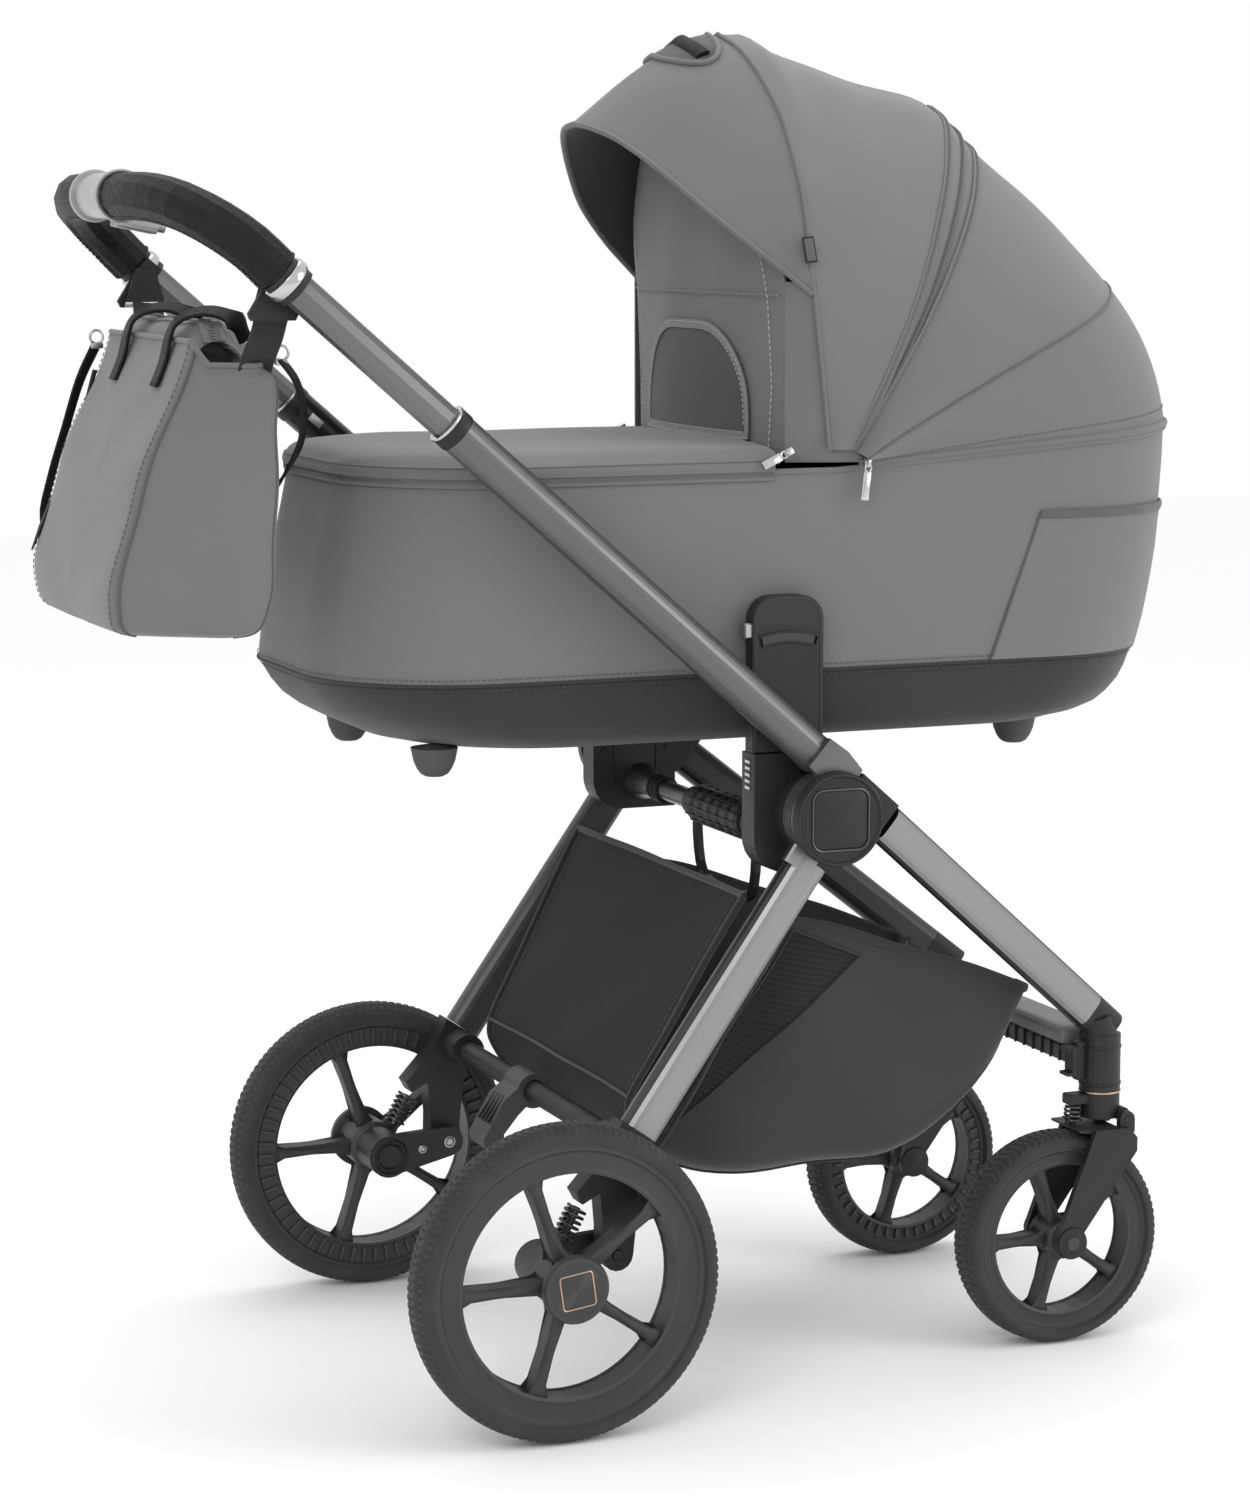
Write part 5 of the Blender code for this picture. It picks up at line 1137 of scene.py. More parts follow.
def head_pocket():
    """A patch pocket that wraps the head end, with a gathered top edge and slanted sides."""
    top, low = 0.807, SEAM_Z + 0.001
    rows = []
    levels, columns = 11, 49
    inside_x = 0.40
    for k in range(levels):
        z = lerp(low, top, k / (levels - 1))
        cut = lerp(0.4590, 0.5090, k / (levels - 1))
        ring = cot_ring(z, count=27)
        # From the near side round the head end to the far side.
        path = sorted((p for p in ring if p.x >= cut), key=lambda p: math.atan2(p.y, p.x - inside_x))
        half = cot_profile(z)[2]
        if path[0].x > cut:
            path = [Vector((cut, -half, z))] + path
        if path[-1].x > cut:
            path = path + [Vector((cut, half, z))]
        total = sum((b - a).length for a, b in zip(path, path[1:]))
        line = resample(path, total / (columns - 1.0))
        line = (line + [line[-1]] * columns)[:columns]
        t = k / (levels - 1)
        outs = []
        for i, p in enumerate(line):
            way = line[min(columns - 1, i + 1)] - line[max(0, i - 1)]
            normal = Vector((way.y, -way.x, 0)).normalized()
            if normal.dot(p - Vector((inside_x, 0, p.z))) < 0:
                normal = -normal
            gather = 0.0012 * abs(math.sin(i * 0.9)) if t > 0.9 else 0
            belly = 0.0022 * math.sin(math.pi * min(1, i / (columns - 1))) * math.sin(math.pi * t)
            outs.append(p + normal * (0.0022 + belly + gather))
        rows.append(outs)
    obj = loft("cot_head_pocket", rows, FABRIC, "carrycot", "grey_fabric", shell=0.0016, turn=False)
    # The hem's darker grey paints the shade under the gathered top edge and along the sides.
    rolled = [p + Vector((0, 0, -0.001)) for p in rows[-1]]
    made = [sweep(rolled, [(u * 0.4, v) for u, v in circle(0.0042, 10)], guide=UP),
            sweep([r[0] for r in rows], circle(0.0012, 8)), sweep([r[-1] for r in rows], circle(0.0012, 8))]
    parts("cot_pocket_hem", made, SEAM_SHADE, "carrycot", "grey_fabric")


def skirt_ring(z, out):
    """The outline just outside the wall, from the near side round the foot end; open under the canopy."""
    foot, _, half = cot_profile(z)
    half, foot = half + out, foot - out
    corner = COT_CORNER
    points = [Vector((lerp(0.2360, foot + corner, k / 14), -half, z)) for k in range(14)]
    points += [Vector((x, y, z)) for x, y in arc((foot + corner, -half + corner), corner, 270, 180, 15)]
    points += [Vector((x, y, z)) for x, y in arc((foot + corner, half - corner), corner, 180, 90, 15)]
    points += [Vector((lerp(foot + corner, 0.2360, k / 14), half, z)) for k in range(1, 15)]
    return points


def zip_line(path, ups, tooth=0.0024, width=0.0026):
    """Interlocked teeth along a path."""
    made = []
    marks = resample(path, tooth)
    for i, (a, b) in enumerate(zip(marks, marks[1:])):
        way = b - a
        if way.length < 1e-7:
            continue
        up = ups(a)
        turn = axes_of(way, up)
        made.append(box_part(a.lerp(b, 0.5) + turn.col[1] * (0.0004 if i % 2 else -0.0004),
                             (tooth * 0.60, width, 0.0014), turn, 0))
    return made


def puller(place, down, out, long=0.030):
    """A zip's slider with its bright pull tag hanging from it."""
    down, out = down.normalized(), out.normalized()
    turn = axes_of(down, out)
    slider = box_part(place + out * 0.0026, (0.0100, 0.0070, 0.0040), turn, 0.3)
    bridge = box_part(place + out * 0.0054 + down * 0.001, (0.0066, 0.0024, 0.0024), turn, 0.3)
    ring = []
    for i in range(20):
        a = 2 * math.pi * i / 20
        lengthwise, sideways = 0.0055 + 0.0040 * math.cos(a), 0.0030 * math.sin(a)
        ring.append(place + out * 0.0052 + down * lengthwise + turn.col[1] * sideways)
    tag = box_part(place + out * 0.0042 + down * (0.0090 + long / 2), (long, 0.0078, 0.0018), turn, 0.35)
    inset = box_part(place + out * 0.0052 + down * (0.0090 + long * 0.55), (long * 0.62, 0.0040, 0.0010),
                     turn, 0.3)
    return [slider, bridge, sweep(ring, circle(0.0009, 6), True), tag, inset]


def zip_round_cot():
    line = skirt_ring(0.8500, 0.0022)

    def outwards(p):
        way = Vector((0, p.y, 0))
        if p.x < 0.0:
            cx, cy = -0.138 + COT_CORNER, math.copysign(0.195 - COT_CORNER, p.y)
            way = Vector((p.x - cx, p.y - cy if abs(p.y) > abs(cy) else 0, 0))
        return way.normalized()

    tape = [sweep(line, flat(0.0100, 0.0014), guide=[outwards(p) for p in line])]
    parts("cot_zip_tape", tape, FABRIC_TRIM, "carrycot", "grey_fabric")
    parts("cot_zip_teeth", zip_line([p + outwards(p) * 0.0008 for p in line], outwards), ZIP_PLASTIC,
          "carrycot", "grey_fabric")
    made = []
    for side in (-1, 1):
        made += puller(Vector((0.2480, side * 0.1990, 0.8700)), Vector((-0.75, side * 0.05, -0.35)),
                       Vector((0, side, 0.25)), 0.020)
    parts("cot_zip_pullers", made, CHROME, "carrycot", "silver_metal")


def apron_half(x):
    foot, _, half = cot_profile(COT_RIM_Z)
    centre = foot + COT_CORNER
    if x >= centre:
        return half
    inside = max(0.0, COT_CORNER ** 2 - (centre - x) ** 2)
    return half - COT_CORNER + math.sqrt(inside)


def apron():
    """The zip-on cover: a slightly crowned top, and a skirt that turns down over the rim."""
    rows = []
    foot = cot_profile(COT_RIM_Z)[0]
    stations = 33
    for i in range(stations):
        x = lerp(foot - 0.0012, 0.2420, (i / (stations - 1)) ** 1.5)
        half = apron_half(max(x, foot + 0.0002)) + 0.0012
        crown = table([(foot, 0.0), (foot + 0.004, 0.40), (foot + 0.012, 0.70), (foot + 0.035, 0.88),
                       (foot + 0.12, 1.0)], x)
        row = []
        for v in (k / 14 - 1 for k in range(29)):
            y = half * v
            lift = crown * (0.0105 * (1 - abs(v) ** 16) + 0.0050 * (1 - v * v))
            wave = 0.0012 * (1 - abs(v)) * math.sin(x * 34 + 3.0 * v)
            wave += 0.0010 * math.sin(x * 11 + 5 * v) * (1 - v * v)
            row.append(Vector((x, y, 0.8600 + lift + wave * crown)))
        rows.append(row)
    top = loft("apron_top", rows, FABRIC, "carrycot", "grey_fabric", shell=0.0030, replaces="apron",
               turn=False)
    levels = ((0.8535, 0.0030), (0.8560, 0.0036), (0.8590, 0.0034), (0.8615, 0.0024), (0.8625, 0.0006),
              (0.8622, -0.0060))
    rows = [skirt_ring(z, out) for z, out in levels]
    skirt = loft("apron_skirt", rows, FABRIC_TRIM, "carrycot", "grey_fabric", shell=0.0014, turn=False)
    edge = skirt_ring(0.8622, 0.0026)
    # The piping's darker grey paints the shade along the skirt's edge.
    bead("apron_piping", edge, 0.0013, SEAM_SHADE, "carrycot", "grey_fabric")
    # A pressed stud near the foot corner.
    made = [lathe([(0.0, 0.0030), (0.0030, 0.0028), (0.0050, 0.0020), (0.0062, 0.0006), (0.0062, -0.0004),
                   (0.0, -0.0004)],
                  (-0.0720, y, 0.8660), (0, math.copysign(0.25, y), 1), 28) for y in (-0.128, 0.128)]
    parts("apron_studs", made, SILVER, "carrycot", "silver_metal")


def mattress():
    rows = []
    for z, inset in ((0.6262, 0.040), (0.6275, 0.032), (0.634, 0.0275), (0.645, 0.0265), (0.655, 0.0275),
                     (0.6615, 0.032), (0.6645, 0.042), (0.6655, 0.070), (0.6665, 0.110)):
        rows.append(cot_ring(z, inset))
    obj = loft("mattress_pad", rows, LINING, "carrycot", "dark_lining", around=True, caps=(True, True),
               replaces="mattress", turn=True)
    seam = cot_ring(0.6455, 0.0262)
    bead("mattress_piping", seam, 0.0018, DARK_TRIM, "carrycot", "dark_lining", closed=True)


# ---------------------------------------------------------------- wind flap

FLAP_THICK = 0.0030
FLAP_ROWS = ((0.8640, 0.176, 0.2590), (0.9300, 0.182, 0.2600), (1.0100, 0.180, 0.2560),
             (1.0500, 0.174, 0.2500), (1.0800, 0.160, 0.2440), (1.1200, 0.134, 0.2380),
             (1.1600, 0.106, 0.2340), (1.1850, 0.084, 0.2320))


def flap_point(y, z, out=0.0):
    """A place on the flap's front face."""
    x = table([(r[0], r[2]) for r in FLAP_ROWS], z)
    half = table([(r[0], r[1]) for r in FLAP_ROWS], z)
    v = max(-1.0, min(1.0, y / half))
    return Vector((x - 0.020 * (1 - v * v) - FLAP_THICK - out, y, z))


def wind_flap():
    """The tall front flap, with its arched net window."""
    window_half, window_low, window_top, window_radius = 0.114, 0.8830, 0.9780, 0.080
    rows = []
    levels = 31
    for i in range(levels):
        z = lerp(0.8640, 1.1830, i / (levels - 1))
        half = table([(r[0], r[1]) for r in FLAP_ROWS], z)
        row = []
        for k in range(41):
            v = k / 20 - 1
            wave = 0.0011 * math.sin(v * 9 + z * 30) * (1 - v * v)
            p = flap_point(half * v, z, wave)
            low = 0.0115 * (1 - v * v) * max(0.0, 1 - (z - 0.864) / 0.05)
            row.append(Vector((p.x + FLAP_THICK, p.y, z + low)))
        rows.append(row)
    obj = loft("wind_flap_panel", rows, FABRIC, "flap", "grey_fabric", shell=0.0022, replaces="wind_flap",
               inner=LINING, turn=True)

    def outline(grow):
        """The window's arched outline in (y, z), grown by a margin."""
        half, low = window_half + grow, window_low - grow
        top, r = window_top + grow, window_radius + grow
        points = [(-half, low), (half, low)]
        points += [(half - r + x, z) for x, z in arc((0, top - r), r, 0, 90, 9)]
        points += [(-half + r + x, z) for x, z in arc((0, top - r), r, 90, 180, 9)]
        return points

    net = cloth("window_net", (0.052, 0.052, 0.0525), None, coords="Object", contrast=0.3)
    rows = []
    for i in range(13):
        z = lerp(window_low, window_top, i / 12)
        drop = z - (window_top - window_radius)
        half = window_half
        if drop > 0:
            half += math.sqrt(max(1e-6, window_radius ** 2 - drop * drop)) - window_radius
        rows.append([flap_point(half * (k / 12 - 1), z, 0.0006) for k in range(25)])
    pane = loft("flap_window_net", rows, net, "flap", "dark_lining", shell=0.0008, turn=True)
    path = [flap_point(y, z, 0.0012) for y, z in resample_flat(outline(0.0030), 0.006)]
    made = [sweep(path, flat(0.0078, 0.0022), True, guide=[Vector((-1, 0, 0))] * len(path))]
    parts("flap_window_binding", made, BINDING, "flap", "grey_fabric")
    made = []
    for grow in (0.0046, -0.0010):
        path = [flap_point(y, z, 0.0022) for y, z in resample_flat(outline(grow), 0.006)]
        made += stitches(path, Vector((-1, 0, 0)), 0.0030, 0.0022, 0.0004, True)
    # A seam across above the window, and one down each edge.
    across = [flap_point(y, 1.0110, 0.0006) for y in (k / 20 * 0.172 for k in range(-20, 21))]
    made += stitches(across, Vector((-1, 0, 0)), 0.0034, 0.0026, 0.0005)
    for side in (-1, 1):
        edge = [flap_point(side * (table([(r[0], r[1]) for r in FLAP_ROWS], z) * 0.86), z, 0.0006)
                for z in (lerp(0.872, 1.060, k / 24) for k in range(25))]
        made += stitches(edge, Vector((-1, 0, 0)), 0.0034, 0.0026, 0.0005)
    parts("flap_stitches", made, THREAD, "flap", "grey_fabric")
    # The seam across is a fine darker bead, painted shade in its crease.
    bead("flap_seam", across, 0.0006, SEAM_SHADE, "flap", "grey_fabric", sides=6)


def resample_flat(points, spacing):
    return [(p.x, p.y) for p in resample([Vector((a, b, 0)) for a, b in points], spacing, True)]


# ---------------------------------------------------------------- canopy

BOW_ARCH = [(0.198, 0.0), (0.199, 0.080), (0.197, 0.160), (0.178, 0.226), (0.140, 0.284),
            (0.098, 0.330), (0.052, 0.362), (0.0, 0.380)]
MIDDLE_ARCH = [(0.199, 0.0), (0.195, 0.080), (0.180, 0.150), (0.155, 0.208), (0.125, 0.258),
               (0.090, 0.300), (0.048, 0.336), (0.0, 0.353)]
STEPS = 7
VISOR_STEPS = 14
BOW_FOOT = 0.010
REAR_BLEND = ("carrycot", "canopy_middle", (0.660, 0.0, 0.900), (0.470, 0.0, 1.120))
FRONT_BLEND = ("canopy_middle", "canopy_front", (0.490, 0.0, 1.170), (0.275, 0.0, 1.235))


def arch_points(arch, angle):
    """Half of a bow's arch, turned to its angle about the canopy's pivot."""
    points = []
    for p in smooth_path([Vector((y, up, 0)) for y, up in arch], STEPS):
        radius = p.y + BOW_FOOT
        points.append(Vector((PIVOT[0] + radius * math.cos(angle), p.x, PIVOT[1] + radius * math.sin(angle))))
    return points


def front_lean(z):
    """How far the front seam stands forward of its bow at a height."""
    return 0.0185 * max(0.0, min(1.0, (1.170 - z) / 0.13))


def front_arch():
    """The canopy's front seam: it follows the bow at the top and leans forwards from it towards the rim."""
    return [p - Vector((front_lean(p.z), 0, 0)) for p in arch_points(BOW_ARCH, BOW_FRONT_ANGLE)]


def blend_rows(first, last, shares, bulge):
    """Rows of cloth from one arch to the next, bulging away from the canopy's pivot."""
    pivot = Vector((PIVOT[0], 0, PIVOT[1]))
    rows = []
    for t in shares:
        row = []
        for a, b in zip(first, last):
            p = a.lerp(b, t)
            row.append(pivot + (p - pivot) * (1 + bulge * math.sin(math.pi * t ** 1.25)))
        rows.append(row)
    return rows


def head_line():
    """Half of the rear cloth's hem: along the rim and round the head end, spaced by its length."""
    head, half = cot_profile(0.885)[1:]
    start_x = PIVOT[0] + 0.014
    straight = head - COT_CORNER - start_x
    quarter = COT_CORNER * math.pi / 2
    end = half - COT_CORNER
    length = straight + quarter + end
    count = (len(BOW_ARCH) - 1) * STEPS + 1
    points = []
    for i in range(count):
        s = length * i / (count - 1)
        if s < straight:
            x, y = start_x + s, half
        elif s < straight + quarter:
            a = (s - straight) / COT_CORNER
            x, y = head - COT_CORNER + COT_CORNER * math.sin(a), half - COT_CORNER + COT_CORNER * math.cos(a)
        else:
            x, y = head, end - (s - straight - quarter)
        points.append(Vector((x - 0.002, y + 0.001, COT_RIM_Z + rim_rise(x) + 0.0042)))
    return points


def visor_lip(count):
    points = [(0.2725, 0.1985, 1.0120), (0.2480, 0.1900, 1.0330), (0.2200, 0.1760, 1.0570),
              (0.1860, 0.1500, 1.0900), (0.1590, 0.1130, 1.1230),
              (0.1360, 0.0700, 1.1500), (0.1230, 0.0330, 1.1620), (0.1200, 0.0, 1.1660)]
    path = smooth_path(points, 12)
    return [path[round(i * (len(path) - 1) / (count - 1))] for i in range(count)]


def lifted(row, out):
    """A row moved away from the canopy's pivots."""
    pivot = Vector((PIVOT[0], 0, PIVOT[1]))
    return [p + Vector((p.x - pivot.x, p.y * 0.9, p.z - pivot.z)).normalized() * out for p in row]


def from_pivot(p):
    """The direction from the canopy's pivot line to a point of its cloth."""
    return Vector((p.x - PIVOT[0], p.y, p.z - PIVOT[1])).normalized()


def canopy():
    front = both_sides(front_arch())
    middle = both_sides(arch_points(MIDDLE_ARCH, BOW_MIDDLE_ANGLE))
    head = both_sides(head_line())

    def creased(rows, amount, seed, hump=0.0):
        """Slack in the cloth, which is tight at the bows and the hem."""
        made = []
        n = len(rows) - 1
        for i, row in enumerate(rows):
            belly = amount * math.sin(math.pi * i / n)
            behind_bow = math.exp(-((i / n - 0.11) / 0.075) ** 2)
            before_bow = 1.2 * math.sin(math.pi * max(0.0, 2 * i / n - 1) ** 1.8)
            rise = hump * (behind_bow + before_bow)
            made.append([p + from_pivot(p)
                         * (belly * soft(p, 19.0, seed) + rise * max(0.0, 1 - (p.y / 0.14) ** 2))
                         for p in row])
        return made

    front_rows = creased(blend_rows(front, middle, [k / 22 for k in range(23)], 0.012), 0.0016, 0.3, 0.0085)
    panel = loft("canopy_front_cloth", front_rows, FABRIC, FRONT_BLEND, "grey_fabric", shell=0.0016,
                 inner=LINING, replaces="canopy_front_panel", turn=True)
    rear_rows = creased(blend_rows(middle, head, [k / 34 for k in range(35)], 0.105), 0.0022, 1.1)
    panel = loft("canopy_rear_cloth", rear_rows, FABRIC, REAR_BLEND, "grey_fabric", shell=0.0016,
                 inner=LINING, replaces="canopy_rear_panel", turn=True)

    # The visor, which springs from the front bow to its own curved lip.
    base = [p for p in front_arch() if p.z > 1.010]
    lip = visor_lip(len(base))
    shares = [k / VISOR_STEPS for k in range(VISOR_STEPS + 1)]
    visor_rows = blend_rows(both_sides(lip), both_sides(base), shares, 0.012)
    for share, row in zip(shares, visor_rows):
        for p in row:
            p.z += 0.0110 * math.sin(math.pi * share ** 1.2) * max(0.0, 1 - (p.y / 0.15) ** 2)
    visor = loft("canopy_visor_cloth", visor_rows, FABRIC, "canopy_front", "grey_fabric", shell=0.0018,
                 inner=LINING, replaces="canopy_visor", turn=True)
    made = [sweep(visor_rows[0], [(u, v * 0.8) for u, v in circle(0.0032, 10)])]
    parts("canopy_visor_binding", made, FABRIC_TRIM, "canopy_front", "grey_fabric")

    # The binding along the front seam.
    bead("canopy_front_seam", lifted(front, 0.0014), 0.0020, FABRIC_TRIM, "canopy_front", "grey_fabric")

    # Two zips with a strip between them, on either side of the middle bow.
    zips = ((front_rows[-3], FRONT_BLEND, "front"), (rear_rows[2], REAR_BLEND, "rear"))
    for row, how, word in zips:
        line = lifted(row, 0.0010)
        ups = [from_pivot(p) for p in line]
        parts(f"canopy_zip_tape_{word}", [sweep(line, flat(0.0085, 0.0016), guide=ups)], FABRIC_TRIM, how,
              "grey_fabric")
        teeth = zip_line(lifted(row, 0.0020), from_pivot, 0.0026, 0.0024)
        parts(f"canopy_zip_teeth_{word}", teeth, ZIP_PLASTIC, how, "grey_fabric")
    # The piping at the middle bow is darker grey, painted shade along that seam.
    row = lifted(rear_rows[0], 0.0016)
    bead("canopy_middle_piping", row, 0.0018, SEAM_SHADE, "canopy_middle", "grey_fabric")

    # The seam down the rear cloth, a darker bead of painted shade, and the hem along the rim.
    row = lifted(rear_rows[19], 0.0006)
    bead("canopy_rear_seam", row, 0.0011, SEAM_SHADE, REAR_BLEND, "grey_fabric")
    bead("canopy_hem", rear_rows[-1], 0.0036, FABRIC_TRIM, "carrycot", "grey_fabric", sides=10)
    row = lifted(rear_rows[-3], 0.0006)
    parts("canopy_hem_stitches", stitches(row, UP, 0.0034, 0.0024, 0.0004), SEAM_SHADE, "carrycot",
          "grey_fabric")

    made = []
    for side in (-1, 1):
        made += puller(Vector((0.3250, side * 0.2035, 0.8600)), Vector((-0.10, 0, -1)),
                       Vector((0, side, 0.05)), 0.026)
    parts("canopy_zip_pullers", made, CHROME, "canopy_middle", "silver_metal")

    # A blank woven tag in the front seam.
    tilt = axes_of(Vector((0.10, -0.20, -1.0)), Vector((0, -1, 0.2)))
    parts("canopy_tag", [box_part((0.2680, -0.2005, 1.0520), (0.0240, 0.0120, 0.0016), tilt, 0.2)], WEBBING,
          "canopy_front", "charcoal_fabric")
    parts("canopy_tag_face", [box_part((0.2680, -0.2017, 1.0522), (0.0200, 0.0086, 0.0010), tilt, 0.2)],
          SEAM_SHADE, "canopy_front", "grey_fabric")
    carry_handle(visor_rows)
    gussets()


def carry_handle(rows):
    """The carrying grip in the top of the canopy: a flat dark oval patch of lining cloth for its slot, which
    paints both the lining seen through the opening and the shade inside it, with a rolled rim and a bar
    across it.
    """
    slot_share, slot_depth, slot_half = 0.745, 0.190, 0.058

    def on_visor(share, y, out):
        where = max(0.0, min(VISOR_STEPS - 0.001, share * VISOR_STEPS))
        ends = []
        for row in (rows[int(where)], rows[int(where) + 1]):
            for a, b in zip(row, row[1:]):
                if a.y <= y <= b.y:
                    ends.append(a.lerp(b, (y - a.y) / ((b.y - a.y) or 1.0)))
                    break
        p = ends[0].lerp(ends[1], where - int(where))
        return p + Vector((-0.44 * out, y * 2.0 * out, 0.88 * out))

    def oval(size, out, count=40):
        turns = [2 * math.pi * i / count for i in range(count)]
        return [on_visor(slot_share + slot_depth * size * math.sin(a), slot_half * size * math.cos(a), out)
                for a in turns]

    # The slot is a flat patch, not a hole. Its dark lining colour stands for both the lining behind the
    # opening and the shade inside it.
    verts, faces, _ = grid([oval(s, 0.0034) for s in (0.02, 0.3, 0.6, 0.85, 1.0)], around=True,
                           caps=(True, False))
    parts("canopy_carry_slot_shade_patch", [(verts, faces)], LINING, "canopy_front", "dark_lining", shell=0.0006)
    bead("canopy_carry_rim", oval(1.0, 0.0028), 0.0026, FABRIC_TRIM, "canopy_front", "grey_fabric",
         closed=True)
    bar = [on_visor(slot_share, y, 0.0050) for y in (k / 10 * 0.050 for k in range(-10, 11))]
    parts("canopy_carry_bar",
          [sweep(bar, [(u * 2.2, v) for u, v in circle(0.0034, 12)], guide=Vector((-0.44, 0, 0.88)))],
          LEATHER, "canopy_front", "black_leatherette")


def gussets():
    """The side strips that join the wind flap's edges to the front bow."""
    made, lines = [], []
    for side in (-1, 1):
        rows = []
        for k in range(15):
            t = k / 14
            z = lerp(0.8600, 1.0230, t)
            r = (z - PIVOT[1]) / math.sin(BOW_FRONT_ANGLE)
            x = PIVOT[0] + r * math.cos(BOW_FRONT_ANGLE)
            x -= front_lean(z)
            first = Vector((0.2545, side * 0.1790, z))
            last = Vector((x + 0.0040 + 0.0360 * max(0.0, 1 - t / 0.16), side * 0.1970, z))
            rows.append([first.lerp(last, u) + Vector((0, side * 0.0020 * math.sin(math.pi * u), 0))
                         for u in (0, 0.2, 0.4, 0.6, 0.8, 1.0)])
        made.append(rows)
        for u in (2, 3):
            path = [row[u] + Vector((-0.0004, side * 0.0008, 0)) for row in rows]
            lines += stitches(path, Vector((0, side, 0)), 0.0034, 0.0024, 0.0004)
    for word, rows, turn in (("near", made[0], True), ("far", made[1], False)):
        obj = loft(f"canopy_gusset_{word}", rows, FABRIC, "canopy_front", "grey_fabric", shell=0.0014,
                   turn=turn)
    parts("canopy_gusset_stitches", lines, SEAM_SHADE, "canopy_front", "grey_fabric")


# ---------------------------------------------------------------- basket and rear panel

def section_points(low_x, low_z, top_x, top_z, low_half, top_half):
    section = []
    for share, half_share in ((1.0, 1.0), (0.82, 0.88), (0.66, 0.72), (0.50, 0.56), (0.33, 0.40),
                              (0.18, 0.20), (0.06, 0.05)):
        half = lerp(low_half, top_half, half_share)
        section.append(Vector((lerp(low_x, top_x, share), -half, lerp(low_z, top_z, share))))
    section.append(Vector((low_x, -low_half * 0.86, low_z)))
    section.append(Vector((low_x, -low_half * 0.60, low_z - 0.001)))
    section.append(Vector((low_x, 0, low_z - 0.003)))
    section += [Vector((p.x, -p.y, p.z)) for p in reversed(section[:-1])]
    return section


def basket():
    stations = [
        ((0.1420, 0.2120), (0.2620, 0.4360), 0.140, 0.176),
        ((0.1980, 0.1920), (0.3040, 0.4250), 0.150, 0.178),
        ((0.3000, 0.1890), (0.3780, 0.4010), 0.150, 0.170),
        ((0.3850, 0.1930), (0.4480, 0.3760), 0.146, 0.162),
        ((0.4580, 0.2260), (0.5030, 0.3560), 0.138, 0.152),
        ((0.5080, 0.2900), (0.5300, 0.3450), 0.128, 0.144),
    ]
    coarse = [section_points(*low, *top, a, b) for low, top, a, b in stations]
    front = [Vector((p.x + 0.004, p.y * 0.82, p.z)) for p in coarse[-1]]
    closing = [Vector((lerp(p.x, 0.5300, 0.6), p.y, lerp(p.z, 0.3450, 0.85))) for p in front]
    coarse.append(closing)
    columns = [smooth_path([row[j] for row in coarse], 6) for j in range(len(coarse[0]))]
    rows = []
    for i in range(len(columns[0])):
        line = smooth_path([c[i] for c in columns], 3)
        row = []
        for p in line:
            ripple = math.copysign(1, p.y or 1) * 0.0022 * math.sin(p.x * 37 + p.z * 29)
            row.append(p + Vector((0, ripple, 0.0012 * math.sin(p.x * 45))))
        rows.append(row)
    how = ("chassis", "rear_frame", (0.400, 0.0, 0.300), (0.170, 0.0, 0.330))
    obj = loft("basket_cloth", rows, DARK_NET, how, "charcoal_fabric", shell=0.0022, replaces="basket",
               turn=False)
    for word, j in (("near", 0), ("far", -1)):
        hem = [row[j] for row in rows]
        parts(f"basket_hem_{word}", [sweep(hem, [(u * 0.7, v * 1.3) for u, v in circle(0.0036, 10)])],
              DARK_TRIM, how, "charcoal_fabric")
    back = rows[0]
    bead("basket_hem_back", back, 0.0030, DARK_TRIM, how, "charcoal_fabric", sides=10)
    seams = []
    for j in (21, -22):
        seams.append(sweep([row[j] + Vector((0, 0, -0.0008)) for row in rows], circle(0.0014, 8)))
    parts("basket_bottom_seam", seams, DARK_TRIM, how, "charcoal_fabric")
    # Binding round the net insert: it follows the side from corner to corner.
    made = []
    for side in (-1, 1):
        near = [p for row in rows for p in row if p.y * side > 0.08]
        for a, b in zip(BASKET_NET, BASKET_NET[1:] + BASKET_NET[:1]):
            line = []
            for k in range(25):
                x, z = lerp(a[0], b[0], k / 24), lerp(a[1], b[1], k / 24)
                picked = sorted(near, key=lambda p: (p.x - x) ** 2 + (p.z - z) ** 2)[:4]
                weights = [1 / (1e-6 + (p.x - x) ** 2 + (p.z - z) ** 2) for p in picked]
                y = sum(p.y * w for p, w in zip(picked, weights)) / sum(weights)
                line.append(Vector((x, y + side * 0.0010, z)))
            made.append(sweep(line, circle(0.0013, 6)))
    parts("basket_net_binding", made, DARK_TRIM, how, "charcoal_fabric")


